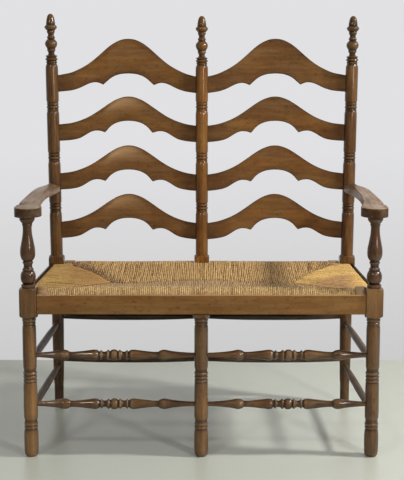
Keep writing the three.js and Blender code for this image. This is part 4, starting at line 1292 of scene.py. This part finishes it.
def rush_group():
    """Twisted rush: two leaves wound round each other, with its own tone, fibres and stains, and painted
    shade in the creases of its twist, between the cords, at their ends and on the underside.
    """
    tree, given, out = group("twisted rush", "Place Spread Follow", "Light Middle Dark Stained",
                             "Tone Stain Crown Twist")
    light, dark, own_tone, crown = given["Light"], given["Dark"], given["Tone"], given["Crown"]
    split = node(tree, "ShaderNodeSeparateXYZ", Vector=given["Follow"]).outputs
    wound = maths(tree, "ADD", times(tree, split["X"], given["Twist"]), times(tree, split["Y"], 2.0))
    strand = maths(tree, "ABSOLUTE", maths(tree, "SINE", times(tree, wound, math.pi)))
    own = node(tree, "ShaderNodeCombineXYZ", X=split["X"], Y=times(tree, own_tone, 83.0)).outputs[0]
    length = noise(tree, own, 1.3, 1.0, 0.5)
    dashes = noise(tree, own, 8.0, 2.0, 0.6)
    spread = node(tree, "ShaderNodeVectorMath", operation="MULTIPLY")
    for socket, label in zip(spread.inputs, ("Place", "Spread")):
        plug(tree, given[label], socket)
    patches = noise(tree, spread.outputs[0], 1.0, 3.0, 0.6)
    fleck = noise(tree, given["Place"], 240.0, 2.0, 0.6)
    tone = layered(tree, given["Middle"], (
        (own_tone, 0.0, 1.0, 0.0, 0.6, light),
        (own_tone, 0.1, 0.06, 0.0, 0.4, dark),
        (length, 0.5, 0.64, 0.0, 0.5, light),
        (dashes, 0.5, 0.66, 0.0, 0.7, light),
        (dashes, 0.48, 0.34, 0.0, 0.5, dark),
        (patches, 0.52, 0.7, 0.0, 0.3, dark),
    ))
    stained = times(tree, given["Stain"], ranged(tree, dashes, 0.42, 0.66, 1.0, 0.35))
    tone = layered(tree, mix(tree, stained, tone, given["Stained"]), (
        (fleck, 0.5, 0.7, 0.0, 0.3, light),
        (fleck, 0.5, 0.32, 0.0, 0.3, dark),
        # painted shade in the creases of the twist and in the gaps between cords
        (strand, 0.5, 0.05, 0.0, 0.4, dark),
        (crown, 0.85, 0.1, 0.0, 0.85, dark),
        # the underside darkens with painted shade and soiling
        (crown, -0.1, -1.0, 0.0, 0.75, colour(*DIRT_AND_SHADE)),
    ))
    plug(tree, tone, out["Color"])
    plug(tree, ranged(tree, fleck, 0.3, 0.7, 0.8, 0.6), out["Roughness"])
    plug(tree, maths(tree, "ADD", strand, times(tree, fleck, 0.4)), out["Height"])
    return tree


RUSH = rush_group()


def rush(name, light, middle, dark, stained, spread):
    material, tree, shader = new_material(name)
    weave = node(
        tree, "ShaderNodeGroup", node_tree=RUSH, Place=texture_place(tree),
        Follow=node(tree, "ShaderNodeUVMap", uv_map="cord").outputs["UV"], Light=colour(*light),
        Middle=colour(*middle), Dark=colour(*dark), Stained=colour(*stained), Spread=spread, Twist=11.0,
        **{label: point_value(tree, label) for label in ("Tone", "Stain", "Crown")},
    )
    surface(tree, shader, weave, weave.outputs["Color"], 0.5, 0.001)
    plug(tree, 0.2, shader["Specular IOR Level"])
    return material


def rush_core():
    """The dark stuffing between the upper and lower cords, which closes the gaps between them."""
    clear_selection()
    bpy.ops.mesh.primitive_grid_add(x_subdivisions=80, y_subdivisions=40, size=2)
    piece = named("rush_stuffing")
    first, last = FRONT_Y + 22, REAR_Y - 14

    def place(x, y, z):
        depth = (first + last) / 2 + y * MM * (last - first) / 2
        reach = half_width(depth) - 9
        reach += smoothstep(depth, 212, 222) * (REAR_SPAN - 27 - reach)
        across = x * MM * reach
        return (across, depth, rush_top(across, depth) - 8)

    move_points(piece, place)
    apply_modifier(piece, "SOLIDIFY", thickness=12 * MM, offset=-1)
    outward_normals(piece)
    smooth(piece, 60)
    return piece


def seat():
    """The four fields of cords and the stuffing. The front field stands in for the CAD's seat."""
    fields = (
        ("front", rail_cords(True, 3), RIGHTWARD, front_stains, lambda x, y: 0.0, FRONT_CORD_RADIUS,
         (224, 190, 134), (192, 156, 102), (108, 78, 44), (172, 142, 112), (30, 30, 8)),
        ("rear", rail_cords(False, 4), RIGHTWARD, rear_stains_and_shadow, rear_ends, CORD_RADIUS,
         (236, 196, 132), (194, 152, 94), (96, 64, 36), (108, 78, 56), (33, 9, 8)),
        ("left", side_cords(-1, 5), BACKWARD, left_stains, side_ends, CORD_RADIUS,
         (206, 172, 106), (182, 144, 84), (116, 82, 42), (178, 132, 82), (8, 70, 8)),
        ("right", side_cords(1, 6), BACKWARD, right_stains, side_ends, CORD_RADIUS,
         (232, 194, 122), (206, 164, 94), (136, 98, 52), (158, 118, 86), (8, 70, 8)),
    )
    for seed, (label, paths, across, stains, ends, radius, *looks) in enumerate(fields, 11):
        piece = cord_field("rush_" + label, paths, across, seed, stains, ends, radius)
        replaced = ["rush_seat"] if label == "front" else []
        finish_piece(piece, rush("rush, " + label, *looks), "rush", *replaced)
    stuffing = wood("rush stuffing", "X", (110, 80, 48), (86, 62, 36), (56, 38, 22), rim=0.0, coat=0.0)
    finish_piece(rush_core(), stuffing, "rush")


# Floor, backdrop and light

def floor_paint():
    material, tree, shader = new_material("pale floor paint")
    plug(tree, colour(195, 197, 183), shader["Base Color"])
    plug(tree, 0.32, shader["Roughness"])
    return material


def mixed_shader(tree, factor, *shaders):
    made = tree.nodes.new("ShaderNodeMixShader")
    for value, socket in zip((factor, *(shader.outputs[0] for shader in shaders)), made.inputs):
        plug(tree, value, socket)
    return made


def backdrop_cloth():
    """A white cloth, evenly lit for the camera and in reflections, with painted shade that greys it near the
    floor.
    """
    material, tree, _ = new_material("white backdrop cloth")
    tree.nodes.remove(tree.nodes["Principled BSDF"])
    height = node(tree, "ShaderNodeSeparateXYZ", Vector=texture_place(tree)).outputs["Z"]
    # painted shade: greyer towards the floor
    shade = mix(tree, ranged(tree, height, 0.0, 0.75), colour(203, 203, 203), colour(225, 225, 227))
    even = node(tree, "ShaderNodeEmission", Strength=1.0, Color=shade)
    matt = node(tree, "ShaderNodeBsdfDiffuse", Color=colour(225, 225, 227))
    ray = tree.nodes.new("ShaderNodeLightPath").outputs
    mirrored = maths(tree, "MAXIMUM", ray["Is Glossy Ray"], ray["Is Transmission Ray"])
    lit = mixed_shader(tree, maths(tree, "MAXIMUM", ray["Is Camera Ray"], mirrored), matt, even)
    # from behind, the cloth lets the back of the settee be seen
    behind = node(tree, "ShaderNodeNewGeometry").outputs["Backfacing"]
    through = mixed_shader(tree, behind, lit, node(tree, "ShaderNodeBsdfTransparent"))
    plug(tree, through.outputs[0], tree.nodes["Material Output"].inputs["Surface"])
    return material


def sheet(name, size, material, **place):
    clear_selection()
    bpy.ops.mesh.primitive_plane_add(size=1, **place)
    piece = named(name)
    piece.scale = (*size, 1)
    apply_place(piece)
    piece.data.materials.append(material)
    return piece


def stage():
    floor = sheet("floor", (14, 9), floor_paint(), location=(0, -0.5, 0))
    wall = sheet("backdrop", (14, 6), backdrop_cloth(), location=(0, 0.82, 3), rotation=(math.pi / 2, 0, 0))


def lamp(name, place, aim, width, height, power):
    data = bpy.data.lights.new(name, "AREA")
    data.shape = "RECTANGLE"
    data.size = width
    data.size_y = height
    data.energy = power
    piece = bpy.data.objects.new(name, data)
    piece.location = place
    piece.rotation_euler = (Vector(aim) - Vector(place)).to_track_quat("-Z", "Y").to_euler()
    bpy.context.scene.collection.objects.link(piece)


def lights():
    scene = bpy.context.scene
    scene.world = bpy.data.worlds.new("soft room light")
    scene.world.use_nodes = True
    tree = scene.world.node_tree
    background = tree.nodes["Background"]
    background.inputs["Color"].default_value = (1, 1, 1, 1)
    seen = tree.nodes.new("ShaderNodeLightPath").outputs["Is Camera Ray"]
    # the camera sees a brighter room than the one that lights the settee
    plug(tree, maths(tree, "MULTIPLY_ADD", seen, 0.55, 0.21), background.inputs["Strength"])
    lamp("right lamp", (2.64, -0.61, 2.64), (0, 0, 0.4), 0.32, 0.32, 92)
    lamp("front left lamp", (-1.55, -2.75, 2.6), (0, 0, 0.6), 0.3, 0.3, 20)
    lamp("front right lamp", (1.9, -2.8, 1.9), (0, 0, 0.6), 0.28, 1.5, 40)
    scene.view_settings.view_transform = "Standard"


make_camera()
rear_posts()
front_posts()
stretchers()
slats()
arms()
front_rails()
side_and_rear_rails()
seat()
stage()
lights()

clear_selection()
bpy.context.view_layer.update()
